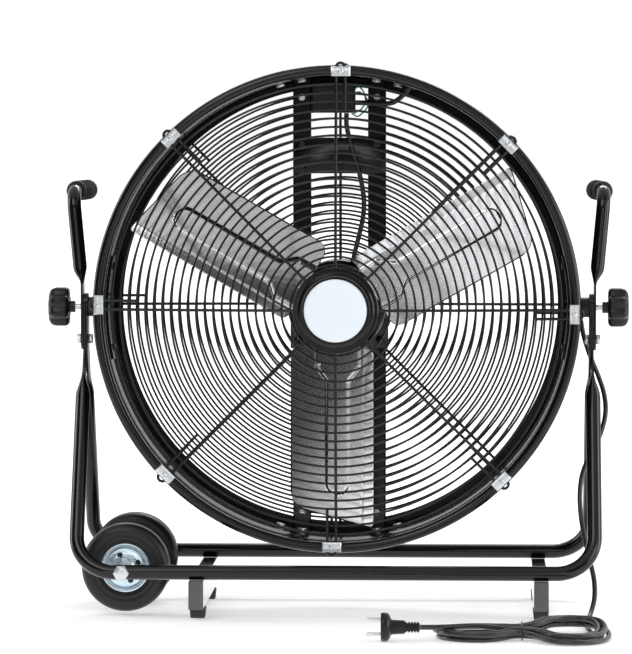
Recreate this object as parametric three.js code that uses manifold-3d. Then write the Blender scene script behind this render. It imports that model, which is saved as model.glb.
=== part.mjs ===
// Drum fan, 24 inch class, on a wheeled tube stand.
// Millimetres. +X is to the right seen from the front, +Y to the rear, +Z up; the floor is Z = 0.
import * as THREE from "three";
import { mergeVertices } from "three/addons/utils/BufferGeometryUtils.js";
import Module from "manifold-3d";

const wasm = await Module();
wasm.setup();

// ---------------------------------------------------------------- driving dimensions
const GAP = 0.3; // between pieces that touch
const HOLE_CLEARANCE = 0.35; // radial, between a shaft or bolt and its hole

// Drum
const DRUM_R = 332; // over the rolled rims; the stand and the fan follow it
const PIVOT_Z = DRUM_R + 85; // height of the tilt axis and of the fan axis
const DRUM_DEPTH = 170;
const BEAD_R = 7; // rolled rim
const BARREL_R = DRUM_R - 12; // outside of the barrel sheet
const SHEET = 1.6;
const REAR_MOUTH_R = DRUM_R - 28.5;
const SWAGE_Y = DRUM_DEPTH / 2 - 35; // stiffening swages, before and behind the middle
const SWAGE_HALF = 3.5;
const SWAGE_SLOPE = 4;
const SWAGE_HEIGHT = 3;
const DRUM_SEGMENTS = 32;

// Guards
const RING_FIRST_R = 61.4;
const RING_PITCH = 11.65;
const RING_COUNT = 1 + Math.floor((DRUM_R - 20 - RING_FIRST_R) / RING_PITCH);
const RING_WIRE = 3;
const SPOKE_WIRE = 4;
const SPOKE_COUNT = 8;
const WELDED_SPOKES = 4; // every fourth spoke carries the rings; the others lie against them
const HAIRPIN_GAP = 12; // between the two legs of a hairpin spoke
const HAIRPIN_R = DRUM_R - 2; // where the bend of a hairpin starts
const SHORT_LEG_R = RING_FIRST_R + RING_PITCH * (RING_COUNT - 4) - 0.1;
const FRONT_SPOKE_START_R = 46;
const REAR_SPOKE_START_R = 59;
const FRONT_DOME = 30;
const REAR_DOME = 12;
const DOME_R = DRUM_R - 32;
const BACKING_R = 58;
const BACKING_THICKNESS = 2.6;
const BADGE_RIM_R = 51.7;
const BADGE_RIM_HEIGHT = 3.6;
const BADGE_R = 42.7;
const BADGE_THICKNESS = 3.2;

// Clips that hold the guards
const CLIP_LENGTH = 26;
const CLIP_WIDTH = 13;
const CLIP_SHEET = 1.5;
const CLIP_R = DRUM_R - 9;
const SCREW_HEAD_R = 3.6;
const SCREW_HEAD = 1.6;

// Fan
const BLADE_COUNT = 3;
const FAN_Y = DRUM_DEPTH / 2 - 110;
const BLADE_ROOT_R = 52;
const BLADE_TIP_R = DRUM_R - 30;
const BLADE_TIP_BACK_R = BLADE_TIP_R - 27;
const BLADE_LEAD_V = -65.5;
const BLADE_CREASE_V = 36.4;
const BLADE_TRAIL_V = 49.6;
const BLADE_PITCH_ROOT = 31;
const BLADE_PITCH_TIP = 24;
const BLADE_SHEET = 1.6;
const BLADE_CORNER = 6;
const FLAP_DROP = 5;
const CHANNEL_HALF = 13;
const CHANNEL_SLOPE = 4;
const CHANNEL_DEPTH = 3;
const CHANNEL_END_R = BLADE_TIP_R - 47;
const LAND_FLARE = 16;
const LAND_END_R = 103;
const RIVETS = [[78, -27], [78, 27], [60, 0]]; // radius and place across the blade
const RIVET_R = 4;
const RIVET_HEAD = 2;
const ARM_SHEET = 3;
const ARM_START_R = 24;
const HUB_PLATE_R = 44;
const HUB_PLATE = 4;
const HUB_BOSS_R = 22;
const HUB_BOSS_LENGTH = 34;
const SHAFT_R = 7;
const SHAFT_FRONT_Y = FAN_Y - 25;

// Motor, rails and electrics
const MOTOR_R = 65;
const MOTOR_FRONT_Y = DRUM_DEPTH / 2 - 75;
const MOTOR_BOSS_R = 18;
const MOTOR_BOSS = 6;
const MOTOR_TAIL_R = 36;
const MOTOR_TAIL_Y = DRUM_DEPTH / 2 - 3;
const MOTOR_BORE_DEPTH = 36;
const RAIL_X = 52; // middle of a rail
const RAIL_WIDTH = 25;
const RAIL_FRONT_Y = DRUM_DEPTH / 2 - 30;
const RAIL_DEPTH = 20;
const RAIL_SHEET = 2.5;
const RAIL_FOOT = 5;
const BRACKET_HALF_X = 68;
const BRACKET_HALF_Z = 60;
const BRACKET_SHEET = 3;
const BRACKET_BOLT_X = 57;
const BRACKET_BOLT_Z = 48;
const SMALL_BOLT_R = 6;
const SMALL_BOLT_HEAD = 3;
const CROSS_PLATE_Z = PIVOT_Z + DRUM_R - 124;
const CROSS_PLATE_HALF_Z = 25;
const CROSS_BOLT_Z = 17;
const SWITCH_BOX_RIGHT_X = 22;
const SWITCH_BOX_Z = PIVOT_Z + DRUM_R - 65;
const SWITCH_BOX_HEIGHT = 44;
const SWITCH_BOX_FRONT_Y = DRUM_DEPTH / 2 - 45;
const SWITCH_BOX_REAR_Y = DRUM_DEPTH / 2 - 4;
const SWITCH_X = -28;
// From the fan axis, between two wires of the rear guard.
const SWITCH_R = RING_FIRST_R + RING_PITCH * (RING_COUNT - 2.61);
const SWITCH_SPINDLE_R = 2.5;
const SWITCH_KNOB_R = 17;
const SWITCH_KNOB_Y = DRUM_DEPTH / 2 + 9;
const SWITCH_KNOB_DEPTH = 16;

// Pivots
const STRAP_HALF_HEIGHT = 71;
const STRAP_HALF_WIDTH = 30;
const STRAP_SHEET = 3;
const STRAP_BOLT_Z = 56;
const SPACER_R = 13.8;
const STUD_R = 4;
const KNOB_NECK_R = 8;
const KNOB_NECK_X = DRUM_R + 31;
const KNOB_X = KNOB_NECK_X + 8;
const KNOB_R = 28;
const KNOB_DEPTH = 28;
const KNOB_LOBES = 8;

// Stand
const TUBE_R = 10;
const RUN_Z = 65.2;
const RUN_Y = 150;
const LEG_X = DRUM_R + 18;
const CORNER_R = 52;
const PLATE = 3; // flattened tube
const PLATE_HALF_WIDTH = 14.5;
const PLATE_BEND_Z = PIVOT_Z - 61; // below it the legs part
const PLATE_END_Z = PIVOT_Z - 90;
const ROUNDING = 32; // height in which a plate becomes a round tube
const PLATE_TOP_Z = PIVOT_Z + 19;
const INNER_PLATE_X = DRUM_R + 14.2; // middle of the plate of the rear frame
const LOWER_BOLT_Z = PIVOT_Z - 44;
const LEG_BOLT_R = 4;
const LEG_BOLT_HEX_R = 7.5;
const LEG_BOLT_HEAD = 5.5;
const FOOT_LEFT_X = 163.5 - LEG_X;
const FOOT_RIGHT_X = LEG_X - 72;
const FOOT_WIDTH = 20;
const FOOT_HALF_LENGTH = 160;
const FOOT_WALL = 1.8;
const FOOT_CAP = 3;
const FOOT_CAP_PLUG = 14;
const PAD_SIZE = 22;
const PAD_HEIGHT = 15.4;
const PAD_SETBACK = 46; // from the end of the bar to the middle of the pad

// Wheels
const AXLE_X = 63 - LEG_X;
const AXLE_R = 6;
const SLEEVE_R = 9;
const AXLE_HEX_R = 11;
const AXLE_HEAD = 7.5;
const WHEEL_Y = 80;
const WHEEL_R = 60;
const WHEEL_WIDTH = 40;
const WHEEL_SEGMENTS = 18;
const RIM_R = 34.4;
const RIM_SHEET = 3;
const RIM_HUB_R = 11;
const RIM_HOLES = 4;
const RIM_HOLE_R = 4;
const RIM_HOLE_PCD_R = 21.5;

// Handles
const HANDLE_R = 9.5;
const HANDLE_PLATE_BOTTOM_Z = PIVOT_Z - 59;
const HANDLE_PLATE_TOP_Z = PIVOT_Z + 29;
const HANDLE_LEAN_X = 13; // how far the top of the upright stands outside its foot
const HANDLE_TOP_Z = PIVOT_Z + 159;
const HANDLE_ELBOW_R = 27;
const HANDLE_LEAN_IN = 8;
const GRIP_START_Y = 30;
const GRIP_END_Y = 140;
const GRIP_R = 14;
const GRIP_RIBS = 5;
const GRIP_RIB_HEIGHT = 1.2;
const GRIP_END = 4;
const GRIP_SIDES = 8;

// Mains cord
const CORD_R = 3.5;
const LEAD_Y = 30; // where the lead lies on the barrel
const GROMMET_ANGLE = 72; // degrees above +X, where the lead goes through the barrel
const GROMMET_R = 8;
const RELIEF_TOP = [BARREL_R + 7.2, PIVOT_Z + 21]; // X and Z of the strain relief's upper end
const RELIEF_BOTTOM = [BARREL_R + 12.6, PIVOT_Z - 9];
const RELIEF_TOP_R = 6.2;
const RELIEF_BOTTOM_R = 4.6;
const MOTOR_CABLE_R = 3.5;

// Hank of the cord that lies in front of the right foot
const HANK_X = LEG_X - 100;
const HANK_Y = -337;
const HANK_TURNS = 4.29;
const HANK_REVERSE = 2.25; // turns after which the spiral runs inwards, one layer up
const HANK_PITCH = 9.5;
const HANK_LAYER = 8;
const HANK_STEPS = 24;
const HANK_CROSS_LIFT = 8.6; // where the loops pass over the incoming cord
const HANK_CROSSING = [0.69, 0.83, 0.93, 1.05]; // in turns: rise from and to, fall from and to
const TIE_WIRE_R = 1;
const TIE_LIFT = 2.7;
const TIE_CLEARANCE = 1.5;

// Plug, lying on the floor
const PLUG_Y = -372;
const PLUG_Z = 19;
const PLUG_FACE_X = 67.2;
const PLUG_R = 18.7;
const PLUG_BODY = 13;
const PLUG_NECK_R = 9.6;
const PLUG_NECK = 18;
const PLUG_RELIEF_R = 7;
const PLUG_RELIEF = 19.5;
const PLUG_RELIEF_RIBS = 5;
const PIN_R = 2.4;
const PIN_LENGTH = 19;
const PIN_SPACING = 19;

// ---------------------------------------------------------------- worked-out dimensions
const BARREL_IN = BARREL_R - SHEET;
const SWITCH_RISE = Math.sqrt(SWITCH_R ** 2 - SWITCH_X ** 2);
const HALF_DEPTH = DRUM_DEPTH / 2;
const RING_SECTION_R = RING_WIRE * 0.62;
const SPOKE_SECTION_R = SPOKE_WIRE * 0.6;
const WELD_DEPTH = 0.9; // how far crossing wires sink into each other
const RING_TO_SPOKE = RING_SECTION_R + SPOKE_SECTION_R + GAP;
const OUTER_PLATE_X = INNER_PLATE_X + PLATE + GAP; // plate of the front frame
const HANDLE_PLATE_X = OUTER_PLATE_X + PLATE + GAP;
const STACK_IN_X = INNER_PLATE_X - PLATE / 2;
const STACK_OUT_X = HANDLE_PLATE_X + PLATE / 2;
const FOOT_TOP_Z = RUN_Z - TUBE_R - GAP;
const FOOT_BOTTOM_Z = PAD_HEIGHT + GAP;
const BRACKET_REAR_Y = RAIL_FRONT_Y - GAP;
const BRACKET_FRONT_Y = BRACKET_REAR_Y - BRACKET_SHEET;
const AXLE_HOLE_R = AXLE_R + HOLE_CLEARANCE;
const SHAFT_HOLE_R = SHAFT_R + HOLE_CLEARANCE;
const STUD_HOLE_R = STUD_R + HOLE_CLEARANCE;

// ---------------------------------------------------------------- finishes
const finish = (color, roughness, metalness) =>
  new THREE.MeshStandardMaterial({ color, roughness, metalness, flatShading: true });
const BLACK_ENAMEL = finish(0x16171a, 0.32, 0.1);
const BLACK_WIRE = finish(0x1a1b1d, 0.35, 0.1);
const BLACK_PLASTIC = finish(0x2b2b2c, 0.5, 0);
const GREY_PLASTIC = finish(0x4b4c4e, 0.55, 0);
const BLACK_RUBBER = finish(0x1c1c1d, 0.75, 0);
const GREY_STEEL = finish(0x8c8d90, 0.38, 0.75);
const ZINC = finish(0xc3c9cf, 0.4, 0.85);
const STEEL = finish(0xb8babd, 0.3, 0.9);
const BADGE_PALE = finish(0xe4ebf3, 0.4, 0.1);
const CORD_PVC = finish(0x232326, 0.5, 0);

const fan = new THREE.Group();

function place(name, geometry, material) {
  const mesh = new THREE.Mesh(geometry, material);
  mesh.name = name;
  fan.add(mesh);
}

// ---------------------------------------------------------------- shape helpers
const point = (x, y, z) => new THREE.Vector3(x, y, z);
const radians = THREE.MathUtils.degToRad;
const between = (a, b, part) => a + (b - a) * part;

function smooth(value) {
  const part = Math.min(Math.max(value, 0), 1);
  return part * part * (3 - 2 * part);
}

// A closed geometry with its faces turned outwards and nothing but positions.
function outward(geometry) {
  const bare = geometry.index ? geometry.toNonIndexed() : geometry.clone();
  for (const name of Object.keys(bare.attributes)) {
    if (name !== "position") bare.deleteAttribute(name);
  }
  const position = bare.attributes.position;
  const corner = [point(0, 0, 0), point(0, 0, 0), point(0, 0, 0)];
  let volume = 0;
  for (let i = 0; i < position.count; i += 3) {
    corner.forEach((vertex, k) => vertex.fromBufferAttribute(position, i + k));
    volume += corner[0].dot(corner[1].cross(corner[2]));
  }
  if (volume < 0) {
    const last = point(0, 0, 0);
    for (let i = 0; i < position.count; i += 3) {
      corner[1].fromBufferAttribute(position, i + 1);
      last.fromBufferAttribute(position, i + 2);
      position.setXYZ(i + 1, last.x, last.y, last.z);
      position.setXYZ(i + 2, corner[1].x, corner[1].y, corner[1].z);
    }
  }
  return bare;
}

function solid(geometry) {
  const merged = mergeVertices(outward(geometry), 1e-3);
  return new wasm.Manifold(
    new wasm.Mesh({
      numProp: 3,
      vertProperties: merged.attributes.position.array,
      triVerts: new Uint32Array(merged.index.array),
    }),
  );
}

function geometryOf(body) {
  const mesh = body.getMesh();
  const geometry = new THREE.BufferGeometry();
  geometry.setAttribute("position", new THREE.BufferAttribute(mesh.vertProperties, 3));
  geometry.setIndex(new THREE.BufferAttribute(mesh.triVerts, 1));
  return geometry.toNonIndexed();
}

const joined = (geometries) =>
  geometryOf(geometries.map(solid).reduce((whole, piece) => whole.add(piece)));

function cut(geometry, tools) {
  return geometryOf(tools.map(solid).reduce((whole, tool) => whole.subtract(tool), solid(geometry)));
}

// A solid of revolution about Y; the profile holds [radius, y] pairs.
function turned(profile, segments, phase = 0) {
  const points = profile.map(([radius, along]) => new THREE.Vector2(radius, along));
  if (profile[0][0] > 0) points.push(points[0].clone());
  return outward(new THREE.LatheGeometry(points, segments, phase));
}

// The same about X; the profile holds [radius, x] pairs.
const turnedX = (profile, segments, phase = 0) =>
  outward(turned(profile, segments, phase).rotateZ(-Math.PI / 2));

function block(x0, x1, y0, y1, z0, z1) {
  const box = new THREE.BoxGeometry(Math.abs(x1 - x0), Math.abs(y1 - y0), Math.abs(z1 - z0));
  return box.translate((x0 + x1) / 2, (y0 + y1) / 2, (z0 + z1) / 2);
}

// A round or hexagonal bar along Y or X.
function barY(x, z, radius, y0, y1, sides) {
  const bar = new THREE.CylinderGeometry(radius, radius, Math.abs(y1 - y0), sides);
  return bar.translate(x, (y0 + y1) / 2, z);
}

function barX(y, z, radius, x0, x1, sides) {
  const bar = new THREE.CylinderGeometry(radius, radius, Math.abs(x1 - x0), sides);
  return bar.rotateZ(Math.PI / 2).translate((x0 + x1) / 2, y, z);
}

// A skin over rings of points, closed by caps, or joined end to end.
function loft(rings, endless = false) {
  const sides = rings[0].length;
  const corners = [];
  const last = endless ? rings.length : rings.length - 1;
  for (let i = 0; i < last; i += 1) {
    const here = rings[i];
    const next = rings[(i + 1) % rings.length];
    for (let k = 0; k < sides; k += 1) {
      const turn = (k + 1) % sides;
      corners.push(here[k], here[turn], next[turn], here[k], next[turn], next[k]);
    }
  }
  if (!endless) {
    const end = rings[rings.length - 1];
    for (let k = 1; k < sides - 1; k += 1) {
      corners.push(rings[0][0], rings[0][k + 1], rings[0][k]);
      corners.push(end[0], end[k], end[k + 1]);
    }
  }
  return outward(new THREE.BufferGeometry().setFromPoints(corners));
}

function directionAt(points, i) {
  const back = points[Math.max(i - 1, 0)];
  const ahead = points[Math.min(i + 1, points.length - 1)];
  const before = points[i].clone().sub(back).normalize();
  const after = ahead.clone().sub(points[i]).normalize();
  return before.add(after).normalize();
}

// A route of straight stretches, with a station at each of its points.
class Route extends THREE.Curve {
  constructor(points) {
    super();
    this.points = points;
  }
  getPoint(part, target = new THREE.Vector3()) {
    const station = part * (this.points.length - 1);
    const i = Math.min(Math.floor(station), this.points.length - 2);
    return target.lerpVectors(this.points[i], this.points[i + 1], station - i);
  }
  getPointAt(part, target) {
    return this.getPoint(part, target);
  }
  getTangentAt(part, target = new THREE.Vector3()) {
    return target.copy(directionAt(this.points, Math.round(part * (this.points.length - 1))));
  }
}

function tube(points, radius, sides) {
  const corners = [];
  for (let k = 0; k < sides; k += 1) {
    const turn = (2 * Math.PI * (k + 0.5)) / sides;
    corners.push(new THREE.Vector2(radius * Math.cos(turn), radius * Math.sin(turn)));
  }
  const options = { steps: points.length - 1, extrudePath: new Route(points), bevelEnabled: false };
  return outward(new THREE.ExtrudeGeometry(new THREE.Shape(corners), options));
}

// A route with its corners rounded: each corner is [point, radius, steps].
function rounded(corners) {
  const route = [corners[0][0]];
  for (let i = 1; i < corners.length - 1; i += 1) {
    const [at, radius, steps] = corners[i];
    if (steps === 0) {
      route.push(at);
      continue;
    }
    const incoming = at.clone().sub(corners[i - 1][0]).normalize();
    const outgoing = corners[i + 1][0].clone().sub(at).normalize();
    const turn = incoming.angleTo(outgoing);
    const setback = radius * Math.tan(turn / 2);
    const start = at.clone().addScaledVector(incoming, -setback);
    const inward = outgoing.clone().addScaledVector(incoming, -outgoing.dot(incoming)).normalize();
    for (let k = 0; k <= steps; k += 1) {
      const angle = (turn * k) / steps;
      const along = start.clone().addScaledVector(incoming, radius * Math.sin(angle));
      route.push(along.addScaledVector(inward, radius * (1 - Math.cos(angle))));
    }
  }
  route.push(corners[corners.length - 1][0]);
  return route;
}

const spaced = (curve, step) =>
  curve.getSpacedPoints(Math.max(2, Math.round(curve.getLength() / step)));

const lengthOf = (points) =>
  points.slice(1).reduce((sum, next, i) => sum + next.distanceTo(points[i]), 0);

// The two handed copies of a piece: +1 to the right, -1 to the left.
const HANDS = [["right", 1], ["left", -1]];

// ---------------------------------------------------------------- drum
function beadArc(side, fromDegrees, toDegrees) {
  const steps = 4;
  const arc = [];
  for (let k = 0; k <= steps; k += 1) {
    const turn = radians(between(fromDegrees, toDegrees, k / steps));
    const radius = DRUM_R - BEAD_R + BEAD_R * Math.cos(turn);
    arc.push([radius, side * (HALF_DEPTH - BEAD_R + BEAD_R * Math.sin(turn))]);
  }
  return arc;
}

function swage(radius, side) {
  const half = SWAGE_HALF + SWAGE_SLOPE;
  return [
    [radius, side * SWAGE_Y - half],
    [radius + SWAGE_HEIGHT, side * SWAGE_Y - SWAGE_HALF],
    [radius + SWAGE_HEIGHT, side * SWAGE_Y + SWAGE_HALF],
    [radius, side * SWAGE_Y + half],
  ];
}

function barrel() {
  const outside = [...swage(BARREL_R, -1), ...swage(BARREL_R, 1)];
  const profile = [
    ...beadArc(-1, 180, -60),
    [BARREL_R, -(HALF_DEPTH - 2.4 * BEAD_R)],
    ...outside,
    [BARREL_R, HALF_DEPTH - 2.4 * BEAD_R],
    ...beadArc(1, -60, 120),
    [REAR_MOUTH_R, HALF_DEPTH],
    [REAR_MOUTH_R, HALF_DEPTH - SHEET],
    [BARREL_IN, HALF_DEPTH - SHEET],
    [BARREL_IN, 2 * BEAD_R - HALF_DEPTH],
  ];
  const shell = turned(profile, DRUM_SEGMENTS).translate(0, 0, PIVOT_Z);
  const grommetHole = new THREE.CylinderGeometry(GROMMET_R, GROMMET_R, 20, 8);
  grommetHole.translate(0, BARREL_R, 0).rotateZ(radians(GROMMET_ANGLE - 90));
  grommetHole.rotateX(Math.PI / 2).translate(0, LEAD_Y, PIVOT_Z);
  const studHoles = HANDS.map(([, hand]) =>
    barX(0, PIVOT_Z, STUD_HOLE_R, hand * (BARREL_IN - 8), hand * (BARREL_R + 2), 8),
  );
  return cut(shell, [grommetHole, ...studHoles]);
}

// ---------------------------------------------------------------- guards
// side is -1 for the front guard and +1 for the rear one; seat is the drum face to the spokes.
function domeY(side, seat, dome, radius) {
  const rise = Math.max(0, 1 - (radius / DOME_R) ** 2);
  return side * (HALF_DEPTH + seat + dome * rise);
}

function guardRing(side, seat, dome, radius, raised) {
  const segments = radius < 110 ? 10 : radius < 190 ? 12 : 14;
  const onCircle = radius / Math.cos(Math.PI / segments) ** 0.5;
  const y = domeY(side, seat, dome, radius) - side * (RING_TO_SPOKE - raised);
  const half = RING_SECTION_R * Math.sin(Math.PI / 3);
  const profile = [
    [onCircle, y + side * RING_SECTION_R],
    [onCircle + half, y - (side * RING_SECTION_R) / 2],
    [onCircle - half, y - (side * RING_SECTION_R) / 2],
  ];
  return turned(profile, segments, Math.PI / segments);
}

function hairpinRoute(side, seat, dome, startR, angle) {
  const steps = 3;
  const radial = point(Math.cos(angle), 0, Math.sin(angle));
  const clockwise = point(Math.sin(angle), 0, -Math.cos(angle));
  const at = (radius, across) =>
    point(0, domeY(side, seat, dome, radius), 0)
      .addScaledVector(radial, radius)
      .addScaledVector(clockwise, across);
  const route = [];
  for (let k = 0; k <= steps; k += 1) {
    route.push(at(between(startR, DOME_R, k / steps), 0));
  }
  const bend = HAIRPIN_GAP / 2;
  for (let k = 0; k <= 3; k += 1) {
    const turn = (Math.PI * k) / 3;
    route.push(at(HAIRPIN_R + bend * Math.sin(turn), bend - bend * Math.cos(turn)));
  }
  route.push(at(DOME_R, HAIRPIN_GAP));
  route.push(at(SHORT_LEG_R, HAIRPIN_GAP));
  return route;
}

function hairpin(side, seat, dome, startR, angle, welded) {
  const route = hairpinRoute(side, seat, dome, startR, angle);
  const out = point(0, side, 0);
  const half = SPOKE_SECTION_R * Math.sin(Math.PI / 3);
  const rings = route.map((at, i) => {
    const across = directionAt(route, i).cross(out).normalize();
    const onRings = welded && Math.hypot(at.x, at.z) < DOME_R + 2;
    const inner = SPOKE_SECTION_R + (onRings ? GAP + WELD_DEPTH : 0);
    return [
      at.clone().addScaledVector(out, -inner),
      at.clone().addScaledVector(out, SPOKE_SECTION_R / 2).addScaledVector(across, half),
      at.clone().addScaledVector(out, SPOKE_SECTION_R / 2).addScaledVector(across, -half),
    ];
  });
  return loft(rings);
}

function spokeAngles() {
  return Array.from({ length: SPOKE_COUNT }, (_, k) => (2 * Math.PI * k) / SPOKE_COUNT);
}

function guard(side, seat, dome, startR, extras) {
  const pieces = [...extras];
  for (let k = 0; k < RING_COUNT; k += 1) {
    const raised = side > 0 && k === RING_COUNT - 1 ? GAP + WELD_DEPTH : 0;
    pieces.push(guardRing(side, seat, dome, RING_FIRST_R + RING_PITCH * k, raised));
  }
  spokeAngles().forEach((angle, k) => {
    pieces.push(hairpin(side, seat, dome, startR, angle, k % WELDED_SPOKES === 0));
  });
  return joined(pieces).translate(0, 0, PIVOT_Z);
}

const FRONT_SEAT = GAP + SPOKE_SECTION_R;
const REAR_SEAT = GAP + RING_SECTION_R / 2 + RING_TO_SPOKE;
const BACKING_REAR_Y = domeY(-1, FRONT_SEAT, FRONT_DOME, FRONT_SPOKE_START_R) - SPOKE_SECTION_R / 4;

// The dished centre plate that is welded to the inner ends of the front spokes.
function badgeBacking() {
  const face = BACKING_REAR_Y - BACKING_THICKNESS;
  const well = BADGE_R + GAP;
  return turned(
    [
      [0, BACKING_REAR_Y],
      [BACKING_R, BACKING_REAR_Y],
      [BACKING_R, face],
      [BADGE_RIM_R, face],
      [BADGE_RIM_R - 2, face - BADGE_RIM_HEIGHT],
      [well, face - BADGE_RIM_HEIGHT],
      [well, face],
      [0, face],
    ],
    20,
  );
}

function badge() {
  const rear = BACKING_REAR_Y - BACKING_THICKNESS - GAP;
  const profile = [
    [0, rear],
    [BADGE_R, rear],
    [BADGE_R, rear - BADGE_THICKNESS + 1],
    [BADGE_R - 3, rear - BADGE_THICKNESS],
    [0, rear - BADGE_THICKNESS - 0.6],
  ];
  return turned(profile, 20).translate(0, 0, PIVOT_Z);
}

// A rear clip is a folded plate that bears on the rim bead and holds both legs of a hairpin.
function rearClip(angle) {
  const half = CLIP_LENGTH / 2;
  const clip = block(
    CLIP_R - CLIP_WIDTH / 2,
    CLIP_R + CLIP_WIDTH / 2,
    HALF_DEPTH + GAP,
    HALF_DEPTH + REAR_SEAT + SPOKE_SECTION_R,
    -HAIRPIN_GAP / 2 - half,
    -HAIRPIN_GAP / 2 + half,
  );
  return clip.rotateY(-angle);
}

// A front clip bridges the hairpin and is screwed to the rim bead between its legs.
function frontClip(angle) {
  const half = CLIP_LENGTH / 2;
  const seat = -HALF_DEPTH - GAP;
  const under = -HALF_DEPTH - FRONT_SEAT - SPOKE_SECTION_R / 2 - GAP;
  const top = under - CLIP_SHEET;
  const outline = [
    [-half, seat],
    [-half, top],
    [half, top],
    [half, seat],
    [half - CLIP_SHEET, seat],
    [half - CLIP_SHEET, under],
    [-half + CLIP_SHEET, under],
    [-half + CLIP_SHEET, seat],
  ].map(([across, y]) => new THREE.Vector2(across, y));
  const options = { depth: CLIP_WIDTH, bevelEnabled: false };
  const bridge = new THREE.ExtrudeGeometry(new THREE.Shape(outline), options);
  bridge.translate(0, 0, CLIP_R - CLIP_WIDTH / 2);
  const head = barY(0, CLIP_R, SCREW_HEAD_R, top - SCREW_HEAD, top + 0.4, 8);
  const clip = joined([bridge, head]);
  return clip.translate(HAIRPIN_GAP / 2, 0, 0).rotateY(Math.PI / 2 - angle).translate(0, 0, PIVOT_Z);
}

place("drum_shell", barrel(), BLACK_ENAMEL);
place(
  "front_guard",
  guard(-1, FRONT_SEAT, FRONT_DOME, FRONT_SPOKE_START_R, [badgeBacking()]),
  BLACK_WIRE,
);
place(
  "rear_guard",
  guard(1, REAR_SEAT, REAR_DOME, REAR_SPOKE_START_R, spokeAngles().map(rearClip)),
  BLACK_WIRE,
);
place("badge_disc", badge(), BADGE_PALE);
spokeAngles().forEach((angle, k) => place(`guard_clip_${k + 1}`, frontClip(angle), ZINC));

// ---------------------------------------------------------------- fan
// Depth of the blade's middle surface at a radius u and a place v across it.
function bladeDepth(u, v, land) {
  const span = (u - BLADE_ROOT_R) / (BLADE_TIP_R - BLADE_ROOT_R);
  const pitch = radians(between(BLADE_PITCH_ROOT, BLADE_PITCH_TIP, Math.max(span, 0)));
  const flap = FLAP_DROP * Math.max(0, (v - BLADE_CREASE_V) / (BLADE_TRAIL_V - BLADE_CREASE_V));
  const camber = 4 * (v / BLADE_LEAD_V) ** 2;
  return FAN_Y - v * Math.tan(pitch) + flap - camber - land * CHANNEL_DEPTH;
}

function channelHalf(u) {
  return CHANNEL_HALF + LAND_FLARE * (1 - smooth((u - RIVETS[0][0]) / (LAND_END_R - RIVETS[0][0])));
}

function sheetGrid(us, rowAt, thickness) {
  const front = us.map((u, i) => rowAt(u, i).map(([x, y, z]) => point(x, y - thickness / 2, z)));
  const rear = us.map((u, i) => rowAt(u, i).map(([x, y, z]) => point(x, y + thickness / 2, z)));
  return loft(front.map((row, i) => [...row, ...rear[i].slice().reverse()]));
}

function bladeSheet() {
  const stations = [
    [BLADE_ROOT_R, 1],
    [RIVETS[0][0], 1],
    [(RIVETS[0][0] + LAND_END_R) / 2, 1],
    [LAND_END_R, 1],
    [(LAND_END_R + CHANNEL_END_R) / 2, 1],
    [CHANNEL_END_R - CHANNEL_SLOPE, 1],
    [CHANNEL_END_R + CHANNEL_SLOPE, 0],
    [BLADE_TIP_R, 0],
  ];
  const rows = (u, i) => {
    const half = channelHalf(u);
    const across = [
      [BLADE_LEAD_V, 0],
      [-half - CHANNEL_SLOPE, 0],
      [-half, 1],
      [half, 1],
      [half + CHANNEL_SLOPE, 0],
      [BLADE_CREASE_V, 0],
      [BLADE_TRAIL_V, 0],
    ];
    return across.map(([v, raised], k) => {
      const edge = k === 0 || k === across.length - 1;
      const tip = i === stations.length - 1;
      const slant = (v - BLADE_LEAD_V) / (BLADE_TRAIL_V - BLADE_LEAD_V);
      const reach = between(BLADE_TIP_BACK_R, BLADE_TIP_R, slant) - (edge ? BLADE_CORNER : 0);
      const radius = tip ? reach : Math.min(u, reach - BLADE_CORNER);
      return [radius, bladeDepth(radius, v, raised * stations[i][1]), v];
    });
  };
  return sheetGrid(stations.map(([u]) => u), rows, BLADE_SHEET);
}

function blade(angle) {
  const heads = RIVETS.map(([u, v]) => {
    const rivet = barY(0, 0, RIVET_R, -BLADE_SHEET / 2 - RIVET_HEAD, 0, 6);
    return rivet.rotateX(radians(BLADE_PITCH_ROOT)).translate(u, bladeDepth(u, v, 1), v);
  });
  return joined([bladeSheet(), ...heads]).rotateY(-angle).translate(0, 0, PIVOT_Z);
}

const bladeAngles = () =>
  Array.from({ length: BLADE_COUNT }, (_, k) => Math.PI / 6 + (2 * Math.PI * k) / BLADE_COUNT);

function spiderArm(angle) {
  const us = [ARM_START_R, BLADE_ROOT_R, RIVETS[0][0], (RIVETS[0][0] + LAND_END_R) / 2];
  const behind = BLADE_SHEET / 2 + GAP * 3 + ARM_SHEET / 2;
  const rows = (u) => {
    const half = channelHalf(u) - CHANNEL_SLOPE / 2;
    return [-half, half].map((v) => [u, bladeDepth(u, v, 1) + behind, v]);
  };
  return sheetGrid(us, rows, ARM_SHEET).rotateY(-angle);
}

function spider() {
  const front = FAN_Y - HUB_BOSS_LENGTH / 2;
  const boss = turned(
    [
      [SHAFT_HOLE_R, front],
      [HUB_BOSS_R, front],
      [HUB_BOSS_R, FAN_Y - HUB_PLATE / 2],
      [HUB_PLATE_R, FAN_Y - HUB_PLATE / 2],
      [HUB_PLATE_R, FAN_Y + HUB_PLATE / 2],
      [HUB_BOSS_R, FAN_Y + HUB_PLATE / 2],
      [HUB_BOSS_R, front + HUB_BOSS_LENGTH],
      [SHAFT_HOLE_R, front + HUB_BOSS_LENGTH],
    ],
    18,
  );
  const spread = solid(boss).add(bladeAngles().map(spiderArm).map(solid).reduce((a, b) => a.add(b)));
  const bore = solid(barY(0, 0, SHAFT_HOLE_R, FAN_Y - 60, FAN_Y + 60, 18));
  return geometryOf(spread.subtract(bore)).translate(0, 0, PIVOT_Z);
}

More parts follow.
